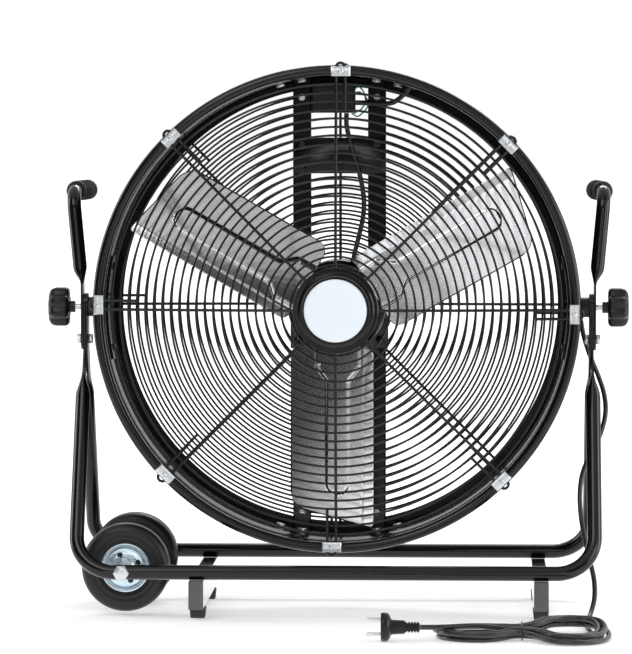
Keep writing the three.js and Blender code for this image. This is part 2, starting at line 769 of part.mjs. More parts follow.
bladeAngles().forEach((angle, k) => place(`blade_${k + 1}`, blade(angle), GREY_STEEL));
place("fan_spider", spider(), BLACK_ENAMEL);
place(
  "motor_shaft",
  barY(0, PIVOT_Z, SHAFT_R, SHAFT_FRONT_Y, MOTOR_FRONT_Y - MOTOR_BOSS + MOTOR_BORE_DEPTH - GAP, 16),
  STEEL,
);

// ---------------------------------------------------------------- motor and its carrier
function motorHousing() {
  const nose = MOTOR_FRONT_Y - MOTOR_BOSS;
  const back = BRACKET_FRONT_Y - GAP;
  const profile = [
    [0, nose + MOTOR_BORE_DEPTH],
    [SHAFT_HOLE_R, nose + MOTOR_BORE_DEPTH],
    [SHAFT_HOLE_R, nose],
    [MOTOR_BOSS_R, nose],
    [MOTOR_BOSS_R + 2, MOTOR_FRONT_Y],
    [MOTOR_R - 9, MOTOR_FRONT_Y],
    [MOTOR_R - 2, MOTOR_FRONT_Y + 4],
    [MOTOR_R, MOTOR_FRONT_Y + 10],
    [MOTOR_R, back],
    [MOTOR_TAIL_R, back],
    [MOTOR_TAIL_R, MOTOR_TAIL_Y - 5],
    [MOTOR_TAIL_R - 6, MOTOR_TAIL_Y],
    [0, MOTOR_TAIL_Y],
  ];
  return turned(profile, 20).translate(0, 0, PIVOT_Z);
}

function boltedPlate(halfX, z, halfZ, bolts) {
  const plate = block(-halfX, halfX, BRACKET_FRONT_Y, BRACKET_REAR_Y, z - halfZ, z + halfZ);
  const heads = bolts.map(([x, boltZ]) =>
    barY(x, boltZ, SMALL_BOLT_R, BRACKET_FRONT_Y - SMALL_BOLT_HEAD, BRACKET_FRONT_Y + 1, 6),
  );
  return joined([plate, ...heads]);
}

function motorBracket() {
  const bolts = [];
  for (const [, hand] of HANDS) {
    bolts.push([hand * BRACKET_BOLT_X, PIVOT_Z + BRACKET_BOLT_Z]);
    bolts.push([hand * BRACKET_BOLT_X, PIVOT_Z - BRACKET_BOLT_Z]);
  }
  const plate = boltedPlate(BRACKET_HALF_X, PIVOT_Z, BRACKET_HALF_Z, bolts);
  return cut(plate, [barY(0, PIVOT_Z, MOTOR_TAIL_R + GAP, 0, RAIL_FRONT_Y + 9, 20)]);
}

function crossPlate() {
  const bolts = [];
  for (const [, hand] of HANDS) {
    bolts.push([hand * RAIL_X, CROSS_PLATE_Z + CROSS_BOLT_Z]);
    bolts.push([hand * RAIL_X, CROSS_PLATE_Z - CROSS_BOLT_Z]);
  }
  return boltedPlate(RAIL_X + RAIL_WIDTH / 2, CROSS_PLATE_Z, CROSS_PLATE_HALF_Z, bolts);
}

// An open channel section from wall to wall of the barrel, with a closed foot at each end.
function rail(hand) {
  const x0 = hand * (RAIL_X - RAIL_WIDTH / 2);
  const x1 = hand * (RAIL_X + RAIL_WIDTH / 2);
  const y1 = RAIL_FRONT_Y + RAIL_DEPTH;
  const wall = hand * RAIL_SHEET;
  const bar = solid(block(x0, x1, RAIL_FRONT_Y, y1, PIVOT_Z - BARREL_R, PIVOT_Z + BARREL_R));
  const footR = Math.sqrt(BARREL_IN ** 2 - (RAIL_X + RAIL_WIDTH / 2) ** 2) - RAIL_FOOT;
  const trough = block(
    x0 + wall,
    x1 - wall,
    RAIL_FRONT_Y + RAIL_SHEET,
    y1 + 1,
    PIVOT_Z - footR,
    PIVOT_Z + footR,
  );
  const insideR = BARREL_IN - GAP;
  const inside = turned(
    [[0, -HALF_DEPTH], [insideR, -HALF_DEPTH], [insideR, HALF_DEPTH], [0, HALF_DEPTH]],
    DRUM_SEGMENTS,
  );
  return geometryOf(bar.subtract(solid(trough)).intersect(solid(inside.translate(0, 0, PIVOT_Z))));
}

function roundedBlock(x0, x1, z0, z1, y0, y1, corner) {
  const outline = new THREE.Shape();
  outline.moveTo(x0 + corner, z0);
  outline.lineTo(x1 - corner, z0);
  outline.quadraticCurveTo(x1, z0, x1, z0 + corner);
  outline.lineTo(x1, z1 - corner);
  outline.quadraticCurveTo(x1, z1, x1 - corner, z1);
  outline.lineTo(x0 + corner, z1);
  outline.quadraticCurveTo(x0, z1, x0, z1 - corner);
  outline.lineTo(x0, z0 + corner);
  outline.quadraticCurveTo(x0, z0, x0 + corner, z0);
  const options = { depth: y1 - y0, bevelEnabled: false, curveSegments: 3 };
  const body = new THREE.ExtrudeGeometry(outline, options);
  return outward(body.rotateX(Math.PI / 2).translate(0, y1, 0));
}

const SWITCH_BOX_LEFT_X = -(RAIL_X - RAIL_WIDTH / 2) + GAP;

function switchBox() {
  const left = SWITCH_BOX_LEFT_X;
  const top = SWITCH_BOX_Z + SWITCH_BOX_HEIGHT;
  return roundedBlock(left, SWITCH_BOX_RIGHT_X, SWITCH_BOX_Z, top, SWITCH_BOX_FRONT_Y, SWITCH_BOX_REAR_Y, 5);
}

function switchKnob() {
  const z = PIVOT_Z + SWITCH_RISE;
  const end = SWITCH_KNOB_Y + SWITCH_KNOB_DEPTH;
  const body = turned(
    [
      [0, SWITCH_BOX_REAR_Y + GAP],
      [SWITCH_SPINDLE_R, SWITCH_BOX_REAR_Y + GAP],
      [SWITCH_SPINDLE_R, SWITCH_KNOB_Y],
      [SWITCH_KNOB_R, SWITCH_KNOB_Y],
      [SWITCH_KNOB_R, SWITCH_KNOB_Y + 4],
      [SWITCH_KNOB_R - 2, SWITCH_KNOB_Y + 6],
      [0, SWITCH_KNOB_Y + 6],
    ],
    12,
  ).translate(SWITCH_X, 0, z);
  const bar = block(SWITCH_X - 3.5, SWITCH_X + 3.5, SWITCH_KNOB_Y + 5, end, z - 15, z + 15);
  return joined([body, bar]);
}

place("motor_housing", motorHousing(), BLACK_ENAMEL);
place("motor_bracket", motorBracket(), BLACK_ENAMEL);
place("cross_plate", crossPlate(), BLACK_ENAMEL);
HANDS.forEach(([name, hand]) => place(`rail_${name}`, rail(hand), BLACK_ENAMEL));
place("switch_box", switchBox(), BLACK_PLASTIC);
place("switch_knob", switchKnob(), BLACK_PLASTIC);

// ---------------------------------------------------------------- pivots
// A curved reinforcing strap inside the barrel, with the heads of its two bolts.
function pivotStrap(hand) {
  const outer = BARREL_IN - GAP;
  const ring = turned(
    [
      [outer - STRAP_SHEET, -STRAP_HALF_WIDTH],
      [outer, -STRAP_HALF_WIDTH],
      [outer, STRAP_HALF_WIDTH],
      [outer - STRAP_SHEET, STRAP_HALF_WIDTH],
    ],
    DRUM_SEGMENTS,
  );
  const window = block(
    hand * (outer - 30),
    hand * (outer + 30),
    -STRAP_HALF_WIDTH - 1,
    STRAP_HALF_WIDTH + 1,
    -STRAP_HALF_HEIGHT,
    STRAP_HALF_HEIGHT,
  );
  const strap = solid(ring).intersect(solid(window));
  const depth = Math.sqrt(outer ** 2 - STRAP_BOLT_Z ** 2) - STRAP_SHEET;
  const heads = [-1, 1].map((up) =>
    solid(barX(0, up * STRAP_BOLT_Z, SMALL_BOLT_R, hand * (depth - 3.5), hand * (depth + 1.5), 6)),
  );
  const hole = solid(barX(0, 0, STUD_HOLE_R, hand * (outer - 9), hand * (outer + 9), 8));
  return geometryOf(heads.reduce((a, b) => a.add(b), strap).subtract(hole)).translate(0, 0, PIVOT_Z);
}

function pivotSpacer(hand) {
  const profile = [
    [STUD_HOLE_R, hand * (BARREL_R + GAP)],
    [SPACER_R, hand * (BARREL_R + GAP)],
    [SPACER_R, hand * (STACK_IN_X - GAP)],
    [STUD_HOLE_R, hand * (STACK_IN_X - GAP)],
  ];
  return turnedX(profile, 14).translate(0, 0, PIVOT_Z);
}

// The clamping knob, with its lobed grip, neck and threaded stud.
function pivotKnob(hand) {
  const stations = [
    [KNOB_X, KNOB_R * 0.86],
    [KNOB_X + 3, KNOB_R],
    [KNOB_X + KNOB_DEPTH * 0.62, KNOB_R],
    [KNOB_X + KNOB_DEPTH * 0.87, KNOB_R * 0.9],
    [KNOB_X + KNOB_DEPTH, KNOB_R * 0.62],
  ];
  const sides = KNOB_LOBES * 2;
  const rings = stations.map(([x, radius]) =>
    Array.from({ length: sides }, (_, k) => {
      const turn = (2 * Math.PI * k) / sides;
      const lobed = radius * (k % 2 === 0 ? 0.93 : 1);
      return point(hand * x, lobed * Math.sin(turn), lobed * Math.cos(turn));
    }),
  );
  const stem = turnedX(
    [
      [0, hand * (BARREL_IN - STRAP_SHEET)],
      [STUD_R, hand * (BARREL_IN - STRAP_SHEET)],
      [STUD_R, hand * KNOB_NECK_X],
      [KNOB_NECK_R, hand * KNOB_NECK_X],
      [KNOB_NECK_R, hand * (KNOB_X + 2)],
      [0, hand * (KNOB_X + 2)],
    ],
    12,
  );
  return joined([loft(rings), stem]).translate(0, 0, PIVOT_Z);
}

HANDS.forEach(([name, hand]) => {
  place(`pivot_strap_${name}`, pivotStrap(hand), BLACK_ENAMEL);
  place(`pivot_spacer_${name}`, pivotSpacer(hand), BLACK_PLASTIC);
  place(`pivot_knob_${name}`, pivotKnob(hand), BLACK_PLASTIC);
});

// ---------------------------------------------------------------- stand
// How flat the tube is at a height: 0 is round, 1 is a plate.
function flattened(points, radius, plateHalf, flatAt, widthAt, normal) {
  const sides = 8;
  return points.map((at, i) => {
    const along = directionAt(points, i);
    const inPlane = normal.clone().cross(along).normalize();
    const across = along.clone().cross(inPlane).normalize();
    const flat = flatAt(at);
    const thick = between(radius, PLATE / 2, flat);
    const wide = between(radius, plateHalf, flat) * widthAt(at);
    return Array.from({ length: sides }, (_, k) => {
      const turn = (2 * Math.PI * (k + 0.5)) / sides;
      const square = (value) => Math.sign(value) * Math.abs(value) ** between(1, 0.4, flat);
      const x = thick * square(Math.cos(turn));
      return at
        .clone()
        .addScaledVector(inPlane, between(x, Math.sign(x) * thick, flat))
        .addScaledVector(across, wide * square(Math.sin(turn)));
    });
  });
}

// One U-shaped tube: up a leg on each side, both ends pressed flat. side is -1 in front.
function baseFrame(side, plateX) {
  const slope = RUN_Y / (PLATE_BEND_Z - RUN_Z);
  const onLeg = (hand, x, z) => point(hand * x, side * slope * (PLATE_BEND_Z - z), z);
  const leg = (hand) => [
    [point(hand * plateX, 0, PLATE_TOP_Z), 0, 0],
    [point(hand * plateX, 0, PLATE_TOP_Z - 6), 0, 0],
    [point(hand * plateX, 0, PLATE_TOP_Z - 16), 0, 0],
    [point(hand * plateX, 0, PLATE_BEND_Z), 30, 2],
    [onLeg(hand, plateX, PLATE_END_Z), 0, 0],
    [onLeg(hand, between(plateX, LEG_X, 0.5), PLATE_END_Z - ROUNDING / 2), 0, 0],
    [onLeg(hand, LEG_X, PLATE_END_Z - ROUNDING), 0, 0],
  ];
  const corner = (hand) => [[point(hand * LEG_X, side * RUN_Y, RUN_Z), CORNER_R, 5]];
  const route = rounded([...leg(-1), ...corner(-1), ...corner(1), ...leg(1).reverse()]);
  const flatAt = (at) => smooth((at.z - PLATE_END_Z + ROUNDING) / ROUNDING);
  const widthAt = (at) => Math.sqrt(Math.max(0.12, 1 - Math.max(0, (at.z - PLATE_TOP_Z + 16) / 16) ** 2));
  const normal = point(0, PLATE_BEND_Z - RUN_Z, side * RUN_Y).normalize();
  const body = loft(flattened(route, TUBE_R, PLATE_HALF_WIDTH, flatAt, widthAt, normal));
  const holes = HANDS.flatMap(([, hand]) => [
    barX(0, PIVOT_Z, STUD_HOLE_R, hand * (plateX - 9), hand * (plateX + 9), 8),
    barX(0, LOWER_BOLT_Z, LEG_BOLT_R + HOLE_CLEARANCE, hand * (plateX - 9), hand * (plateX + 9), 8),
  ]);
  holes.push(barY(AXLE_X, RUN_Z, AXLE_HOLE_R, side * (RUN_Y - 20), side * (RUN_Y + 20), 10));
  return cut(body, holes);
}

function footBar(x) {
  const half = FOOT_WIDTH / 2;
  const bar = block(x - half, x + half, -FOOT_HALF_LENGTH, FOOT_HALF_LENGTH, FOOT_BOTTOM_Z, FOOT_TOP_Z);
  const hollow = block(
    x - half + FOOT_WALL,
    x + half - FOOT_WALL,
    -FOOT_HALF_LENGTH - 1,
    FOOT_HALF_LENGTH + 1,
    FOOT_BOTTOM_Z + FOOT_WALL,
    FOOT_TOP_Z - FOOT_WALL,
  );
  return cut(bar, [hollow]);
}

function footCap(x, side) {
  const half = FOOT_WIDTH / 2;
  const inset = FOOT_WALL + GAP;
  const face = side * (FOOT_HALF_LENGTH + GAP);
  const cover = block(x - half, x + half, face, face + side * FOOT_CAP, FOOT_BOTTOM_Z, FOOT_TOP_Z);
  const insert = block(
    x - half + inset,
    x + half - inset,
    side * (FOOT_HALF_LENGTH - FOOT_CAP_PLUG),
    face + side * 1,
    FOOT_BOTTOM_Z + inset,
    FOOT_TOP_Z - inset,
  );
  return joined([cover, insert]);
}

// A rubber pad, a little narrower at the floor.
function footPad(x, side) {
  const y = side * (FOOT_HALF_LENGTH - PAD_SETBACK);
  const half = PAD_SIZE / 2;
  const ring = (z, shrink) =>
    [[-1, -1], [1, -1], [1, 1], [-1, 1]].map(([a, b]) =>
      point(x + a * (half - shrink), y + b * (half - shrink), z),
    );
  return loft([ring(0, 1.5), ring(4, 0), ring(PAD_HEIGHT, 0)]);
}

// The bolt that goes through the three plates of one side, with its nut inside.
function legBolt(hand) {
  const outside = STACK_OUT_X + GAP;
  const inside = STACK_IN_X - GAP;
  const head = barX(0, LOWER_BOLT_Z, LEG_BOLT_HEX_R, hand * outside, hand * (outside + LEG_BOLT_HEAD), 6);
  const nut = barX(0, LOWER_BOLT_Z, LEG_BOLT_HEX_R, hand * (inside - LEG_BOLT_HEAD), hand * inside, 6);
  const shank = barX(0, LOWER_BOLT_Z, LEG_BOLT_R, hand * (inside - 1), hand * (outside + 1), 8);
  return joined([head, shank, nut]);
}

place("base_frame_front", baseFrame(-1, OUTER_PLATE_X), BLACK_ENAMEL);
place("base_frame_rear", baseFrame(1, INNER_PLATE_X), BLACK_ENAMEL);
[["left", FOOT_LEFT_X], ["right", FOOT_RIGHT_X]].forEach(([name, x]) => {
  place(`foot_bar_${name}`, footBar(x), BLACK_ENAMEL);
  [["front", -1], ["rear", 1]].forEach(([end, side]) => {
    place(`foot_cap_${name}_${end}`, footCap(x, side), GREY_PLASTIC);
    place(`foot_pad_${name}_${end}`, footPad(x, side), BLACK_RUBBER);
  });
});
HANDS.forEach(([name, hand]) => place(`leg_bolt_${name}`, legBolt(hand), ZINC));

// ---------------------------------------------------------------- handles
function handleRoute(hand) {
  const topX = HANDLE_PLATE_X + HANDLE_LEAN_X;
  return rounded([
    [point(hand * HANDLE_PLATE_X, 0, HANDLE_PLATE_BOTTOM_Z), 0, 0],
    [point(hand * HANDLE_PLATE_X, 0, HANDLE_PLATE_BOTTOM_Z + 7), 1, 0],
    [point(hand * HANDLE_PLATE_X, 0, HANDLE_PLATE_BOTTOM_Z + 18), 1, 0],
    [point(hand * HANDLE_PLATE_X, 0, HANDLE_PLATE_TOP_Z), 60, 2],
    [point(hand * (HANDLE_PLATE_X + 3.5), 0, HANDLE_PLATE_TOP_Z + 28), 60, 2],
    [point(hand * topX, 0, HANDLE_TOP_Z), HANDLE_ELBOW_R, 6],
    [point(hand * (topX - HANDLE_LEAN_IN), GRIP_END_Y - GRIP_END - GAP, HANDLE_TOP_Z), 0, 0],
  ]);
}

function handle(hand) {
  const route = handleRoute(hand);
  const flatAt = (at) => 1 - smooth((at.z - HANDLE_PLATE_TOP_Z) / 26);
  const low = HANDLE_PLATE_BOTTOM_Z + 16;
  const widthAt = (at) => Math.sqrt(Math.max(0.12, 1 - Math.max(0, (low - at.z) / 16) ** 2));
  const rings = flattened(route, HANDLE_R, PLATE_HALF_WIDTH, flatAt, widthAt, point(hand, 0, 0));
  const turnedRings = rings.map((ring, i) => {
    const along = directionAt(route, i);
    const flat = flatAt(route[i]);
    if (flat === 0) return ring;
    const wide = point(0, 1, 0);
    const thick = wide.clone().cross(along).normalize();
    const sides = ring.length;
    return ring.map((_, k) => {
      const turn = (2 * Math.PI * (k + 0.5)) / sides;
      const square = (value) => Math.sign(value) * Math.abs(value) ** between(1, 0.4, flat);
      const across = between(HANDLE_R, PLATE_HALF_WIDTH, flat) * widthAt(route[i]);
      const deep = between(HANDLE_R * Math.cos(turn), (Math.sign(Math.cos(turn)) * PLATE) / 2, flat);
      return route[i]
        .clone()
        .addScaledVector(thick, deep)
        .addScaledVector(wide, across * square(Math.sin(turn)));
    });
  });
  const holes = [PIVOT_Z, LOWER_BOLT_Z].map((z) =>
    barX(0, z, STUD_HOLE_R, hand * (HANDLE_PLATE_X - 9), hand * (HANDLE_PLATE_X + 9), 8),
  );
  return cut(loft(turnedRings), holes);
}

// A ribbed rubber sleeve, closed at its rear end.
function grip(hand) {
  const length = GRIP_END_Y - GRIP_START_Y;
  const hole = (HANDLE_R + GAP) / Math.cos(Math.PI / GRIP_SIDES);
  const profile = [[hole, 0], [GRIP_R - 2, 0], [GRIP_R, 3]];
  const ribStep = (length - 12) / GRIP_RIBS;
  for (let k = 0; k < GRIP_RIBS; k += 1) {
    const start = 4 + k * ribStep;
    profile.push([GRIP_R, start + ribStep * 0.25]);
    profile.push([GRIP_R - GRIP_RIB_HEIGHT, start + ribStep * 0.5]);
    profile.push([GRIP_R, start + ribStep * 0.75]);
  }
  profile.push([GRIP_R, length - 4], [GRIP_R - 3, length], [0, length]);
  const bore = [[0, length - GRIP_END], [hole, length - GRIP_END]];
  const sleeve = turned([...bore, ...profile], GRIP_SIDES, Math.PI / GRIP_SIDES);
  const topX = HANDLE_PLATE_X + HANDLE_LEAN_X;
  const reach = GRIP_END_Y - GRIP_END - GAP;
  const slope = Math.atan2(HANDLE_LEAN_IN, reach);
  const startX = topX - HANDLE_LEAN_IN * (GRIP_START_Y / reach);
  return sleeve.rotateZ(hand * slope).translate(hand * startX, GRIP_START_Y, HANDLE_TOP_Z);
}

HANDS.forEach(([name, hand]) => {
  place(`handle_${name}`, handle(hand), BLACK_ENAMEL);
  place(`grip_${name}`, grip(hand), BLACK_RUBBER);
});

// ---------------------------------------------------------------- wheels
// Bolt, nut and the three spacer sleeves that keep the wheels apart.
function axle() {
  const face = RUN_Y + TUBE_R + GAP;
  const wheelFront = WHEEL_Y + WHEEL_WIDTH / 2 + GAP;
  const wheelBack = WHEEL_Y - WHEEL_WIDTH / 2 - GAP;
  const tubeFace = RUN_Y - TUBE_R - GAP;
  const bolt = turned(
    [
      [0, -face - 1],
      [AXLE_R, -face - 1],
      [AXLE_R, -tubeFace],
      [SLEEVE_R, -tubeFace],
      [SLEEVE_R, -wheelFront],
      [AXLE_R, -wheelFront],
      [AXLE_R, -wheelBack],
      [SLEEVE_R, -wheelBack],
      [SLEEVE_R, wheelBack],
      [AXLE_R, wheelBack],
      [AXLE_R, wheelFront],
      [SLEEVE_R, wheelFront],
      [SLEEVE_R, tubeFace],
      [AXLE_R, tubeFace],
      [AXLE_R, face + AXLE_HEAD - 1],
      [0, face + AXLE_HEAD - 1],
    ],
    10,
  ).translate(AXLE_X, 0, RUN_Z);
  const head = barY(AXLE_X, RUN_Z, AXLE_HEX_R, -face - AXLE_HEAD, -face, 6);
  const nut = barY(AXLE_X, RUN_Z, AXLE_HEX_R, face, face + AXLE_HEAD, 6);
  return joined([bolt, head, nut]);
}

function tyre(side) {
  const half = WHEEL_WIDTH / 2;
  const inner = RIM_R + GAP;
  const profile = [
    [inner, -half + 3],
    [inner + 3, -half],
    [WHEEL_R - 8, -half],
    [WHEEL_R, -half + 7],
    [WHEEL_R, half - 7],
    [WHEEL_R - 8, half],
    [inner + 3, half],
    [inner, half - 3],
  ];
  return turned(profile, WHEEL_SEGMENTS).translate(AXLE_X, side * WHEEL_Y, RUN_Z);
}

// A pressed disc with a long hub; its web is towards the outer face of the stand.
function wheelRim(side) {
  const half = WHEEL_WIDTH / 2;
  const web = half - 8;
  const profile = [
    [AXLE_HOLE_R, -half],
    [RIM_HUB_R, -half],
    [RIM_HUB_R, web - RIM_SHEET],
    [RIM_R - 9, web - RIM_SHEET],
    [RIM_R - 5, web],
    [RIM_R - 5, -half + 5],
    [RIM_R, -half + 5],
    [RIM_R, half - 5],
    [RIM_R - 4, half - 5],
    [RIM_R - 9, web],
    [RIM_HUB_R, web],
    [RIM_HUB_R, half],
    [AXLE_HOLE_R, half],
  ];
  const disc = turned(profile.map(([r, y]) => [r, side * y]), WHEEL_SEGMENTS);
  const holes = Array.from({ length: RIM_HOLES }, (_, k) => {
    const turn = (2 * Math.PI * (k + 0.25)) / RIM_HOLES;
    const x = RIM_HOLE_PCD_R * Math.cos(turn);
    const z = RIM_HOLE_PCD_R * Math.sin(turn);
    return barY(x, z, RIM_HOLE_R, side * (web - 6), side * (web + 4), 6);
  });
  return cut(disc, holes).translate(AXLE_X, side * WHEEL_Y, RUN_Z);
}

place("axle", axle(), ZINC);
[["front", -1], ["rear", 1]].forEach(([name, side]) => {
  place(`tyre_${name}`, tyre(side), BLACK_RUBBER);
  place(`wheel_rim_${name}`, wheelRim(side), ZINC);
});

// ---------------------------------------------------------------- leads on the drum
const onBarrel = (degrees, radius, y) =>
  point(radius * Math.cos(radians(degrees)), y, PIVOT_Z + radius * Math.sin(radians(degrees)));

// The mains lead: out of the switch box, through the barrel and down its outside.
function drumLead() {
  const lying = BARREL_R + CORD_R + GAP;
  const boxExit = SWITCH_BOX_RIGHT_X + GAP;
  const slant = point(RELIEF_BOTTOM[0] - RELIEF_TOP[0], 0, RELIEF_BOTTOM[1] - RELIEF_TOP[1]).normalize();
  const end = point(RELIEF_TOP[0], LEAD_Y, RELIEF_TOP[1]).addScaledVector(slant, -GAP);
  const route = [
    point(boxExit, SWITCH_BOX_FRONT_Y + 6, SWITCH_BOX_Z + 14),
    point(boxExit + CORD_R * 2.2, SWITCH_BOX_FRONT_Y + 6, SWITCH_BOX_Z + 14),
    point(RAIL_X, SWITCH_BOX_FRONT_Y + 3, SWITCH_BOX_Z + 13),
    point(RAIL_X + 22, SWITCH_BOX_FRONT_Y - 4, SWITCH_BOX_Z + 14),
    onBarrel(GROMMET_ANGLE + 0.9, BARREL_IN - 12, LEAD_Y + 1),
    onBarrel(GROMMET_ANGLE, BARREL_R, LEAD_Y),
    onBarrel(GROMMET_ANGLE - 2.2, BARREL_R + 8, LEAD_Y),
    onBarrel(GROMMET_ANGLE - 6, lying + 4, LEAD_Y),
    onBarrel(GROMMET_ANGLE - 10, lying + 0.6, LEAD_Y),
  ];
  for (let degrees = GROMMET_ANGLE - 16; degrees > 12; degrees -= 7) {
    route.push(onBarrel(degrees, lying + 0.6, LEAD_Y));
  }
  route.push(onBarrel(8.5, lying + 0.5, LEAD_Y));
  route.push(end.clone().addScaledVector(slant, -CORD_R * 3));
  route.push(end);
  const curve = new THREE.CatmullRomCurve3(route, false, "centripetal");
  return tube(spaced(curve, CORD_R * 5.6), CORD_R, 6);
}

// A tapered sleeve in a saddle that is screwed to the barrel behind the pivot.
function strainRelief() {
  const top = point(RELIEF_TOP[0], LEAD_Y, RELIEF_TOP[1]);
  const bottom = point(RELIEF_BOTTOM[0], LEAD_Y, RELIEF_BOTTOM[1]);
  const sides = 10;
  const along = bottom.clone().sub(top).normalize();
  const across = point(0, 1, 0);
  const out = across.clone().cross(along).normalize();
  const ring = (at, radius) =>
    Array.from({ length: sides }, (_, k) => {
      const turn = (2 * Math.PI * k) / sides;
      return at
        .clone()
        .addScaledVector(across, radius * Math.sin(turn))
        .addScaledVector(out, radius * Math.cos(turn));
    });
  const middle = top.clone().lerp(bottom, 0.4);
  const sleeve = loft([ring(top, RELIEF_TOP_R), ring(middle, RELIEF_TOP_R), ring(bottom, RELIEF_BOTTOM_R)]);
  const saddle = block(
    BARREL_R + GAP,
    RELIEF_TOP[0] + 3,
    LEAD_Y - RELIEF_TOP_R - 5,
    LEAD_Y + RELIEF_TOP_R + 5,
    RELIEF_TOP[1] - 14,
    RELIEF_TOP[1] - 4,
  );
  return joined([sleeve, saddle]);
}

function motorCable() {
  const y = SWITCH_BOX_FRONT_Y + 6;
  const startX = 20;
  const startZ = PIVOT_Z + Math.sqrt(MOTOR_R ** 2 - startX ** 2) + GAP * 2;
  const curve = new THREE.CatmullRomCurve3(
    [
      point(startX, y - 12, startZ),
      point(startX + 1, y - 12, startZ + 8),
      point(26, y - 7, PIVOT_Z + 91),
      point(33, y - 3, PIVOT_Z + 123),
      point(34, y - 1, PIVOT_Z + 148),
      point(28, y - 1, SWITCH_BOX_Z - 84),
      point(16, y, SWITCH_BOX_Z - 44),
      point(10, y, SWITCH_BOX_Z - 16),
      point(10, y, SWITCH_BOX_Z - GAP),
    ],
    false,
    "centripetal",
  );
  return tube(spaced(curve, MOTOR_CABLE_R * 5.6), MOTOR_CABLE_R, 6);
}

place("drum_lead", drumLead(), CORD_PVC);
place("strain_relief", strainRelief(), BLACK_RUBBER);
place("motor_cable", motorCable(), CORD_PVC);

// ---------------------------------------------------------------- free cord, hank and plug
// The innermost loop, from its right tip round the front to its left tip; the rear mirrors it.
const HANK_FRONT = [
  [94, 0],
  [91.5, 20],
  [84.6, 40.5],
  [77.8, 50.9],
  [63.7, 56],
  [49.6, 50.9],
  [42.1, 38.4],
  [27.1, 13.6],
  [0, 4],
  [-19.5, 8.7],
  [-34.4, 21.2],
  [-52, 30],
  [-74, 25.5],
  [-88.5, 14],
  [-94, 0],
];

// The free cord's way down: from the leg, along Y, and the part of the pivot's height.
const FREE_CORD = [
  [-11.5, 31, 0.9008],
  [-2.5, 34, 0.8331],
  [8, 35, 0.7727],
  [16.5, 29, 0.7098],
  [18.5, 16, 0.6493],
  [12, 3, 0.584],
  [-3, -8, 0.5115],
  [-14, -12, 0.4462],
  [-17.5, -20, 0.3785],
  [-16, -35, 0.3059],
  [-11, -58, 0.2382],
  [-5, -84, 0.1753],
  [0, -106, 0.1173],
  [0, -128, 0.0665],
  [-5, -150, 0.0254],
  [-10.5, -174, 0.0041],
  [-12.5, -200, 0],
  [-12.5, -228, 0],
  [-12, -256, 0],
  [-10, -284, 0],
  [-7, -308, 0],
];

const HANK_START = point(HANK_X + HANK_FRONT[0][0], HANK_Y + CORD_R * 2, CORD_R);

// The stretch that hangs from the strain relief, out past the legs and down to the floor.
function freeCordRoute() {
  const top = point(RELIEF_TOP[0], LEAD_Y, RELIEF_TOP[1]);
  const bottom = point(RELIEF_BOTTOM[0], LEAD_Y, RELIEF_BOTTOM[1]);
  const slant = bottom.clone().sub(top).normalize();
  const start = bottom.clone().addScaledVector(slant, GAP);
  const end = HANK_START.clone().add(point(0, GAP, 0));
  const curve = new THREE.CatmullRomCurve3(
    [
      start,
      start.clone().addScaledVector(slant, CORD_R * 2.2),
      ...FREE_CORD.map(([x, y, part]) =>
        point(LEG_X + x, y, CORD_R + (PIVOT_Z - CORD_R) * part),
      ),
      end.clone().add(point(0, CORD_R * 2.2, 0)),
      end,
    ],
    false,
    "centripetal",
  );
  return spaced(curve, CORD_R * 5.2);
}

function hankLoop() {
  const front = HANK_FRONT.map(([x, y]) => point(x, -y, 0));
  const rear = HANK_FRONT.slice(1, -1).reverse().map(([x, y]) => point(x, y, 0));
  const loop = new THREE.CatmullRomCurve3([...front, ...rear], true, "centripetal");
  loop.arcLengthDivisions = 600;
  return loop;
}

// Where the winding is after a number of turns: it spirals out, climbs a layer and spirals in.
function hankPoint(loop, turns) {
  const offset = HANK_REVERSE - Math.abs(turns - HANK_REVERSE);
  const layer = smooth((turns - HANK_REVERSE) * 2 + 0.5);
  const part = turns % 1;
  const along = loop.getTangentAt(part);
  const at = loop.getPointAt(part).addScaledVector(point(-along.y, along.x, 0), HANK_PITCH * offset);
  const [rise, high, fall, low] = HANK_CROSSING;
  const over = (phase) => smooth((phase - rise) / (high - rise)) - smooth((phase - fall) / (low - fall));
  const crossing = over(part) + (turns >= 1 ? over(part + 1) : 0);
  const tied = 1 - smooth(Math.abs(at.x) / 45);
  at.z = CORD_R + HANK_LAYER * layer + HANK_CROSS_LIFT * crossing + TIE_LIFT * tied;
  return at.add(point(HANK_X, HANK_Y, 0));
}

// The end leaves over the left loops, to the plug.
function hankRoute() {
  const loop = hankLoop();
  const route = [HANK_START];
  const steps = Math.round(HANK_TURNS * HANK_STEPS);
  for (let k = 0; k <= steps; k += 1) {
    route.push(hankPoint(loop, k / HANK_STEPS));
  }
  const plugEnd = PLUG_FACE_X + PLUG_BODY + PLUG_NECK + PLUG_RELIEF + GAP;
  const leaving = new THREE.CatmullRomCurve3(
    [
      route[route.length - 1],
      point(226, -344.5, 14.6),
      point(204, -348, 17),
      point(182, -354.5, PLUG_Z),
      point(160, -363.5, PLUG_Z),
      point(140, PLUG_Y + 1.2, PLUG_Z),
      point(plugEnd + CORD_R * 2.2, PLUG_Y, PLUG_Z),
      point(plugEnd, PLUG_Y, PLUG_Z),
    ],
    false,
    "centripetal",
  );
  return [...route, ...spaced(leaving, CORD_R * 5.2).slice(1)];
}

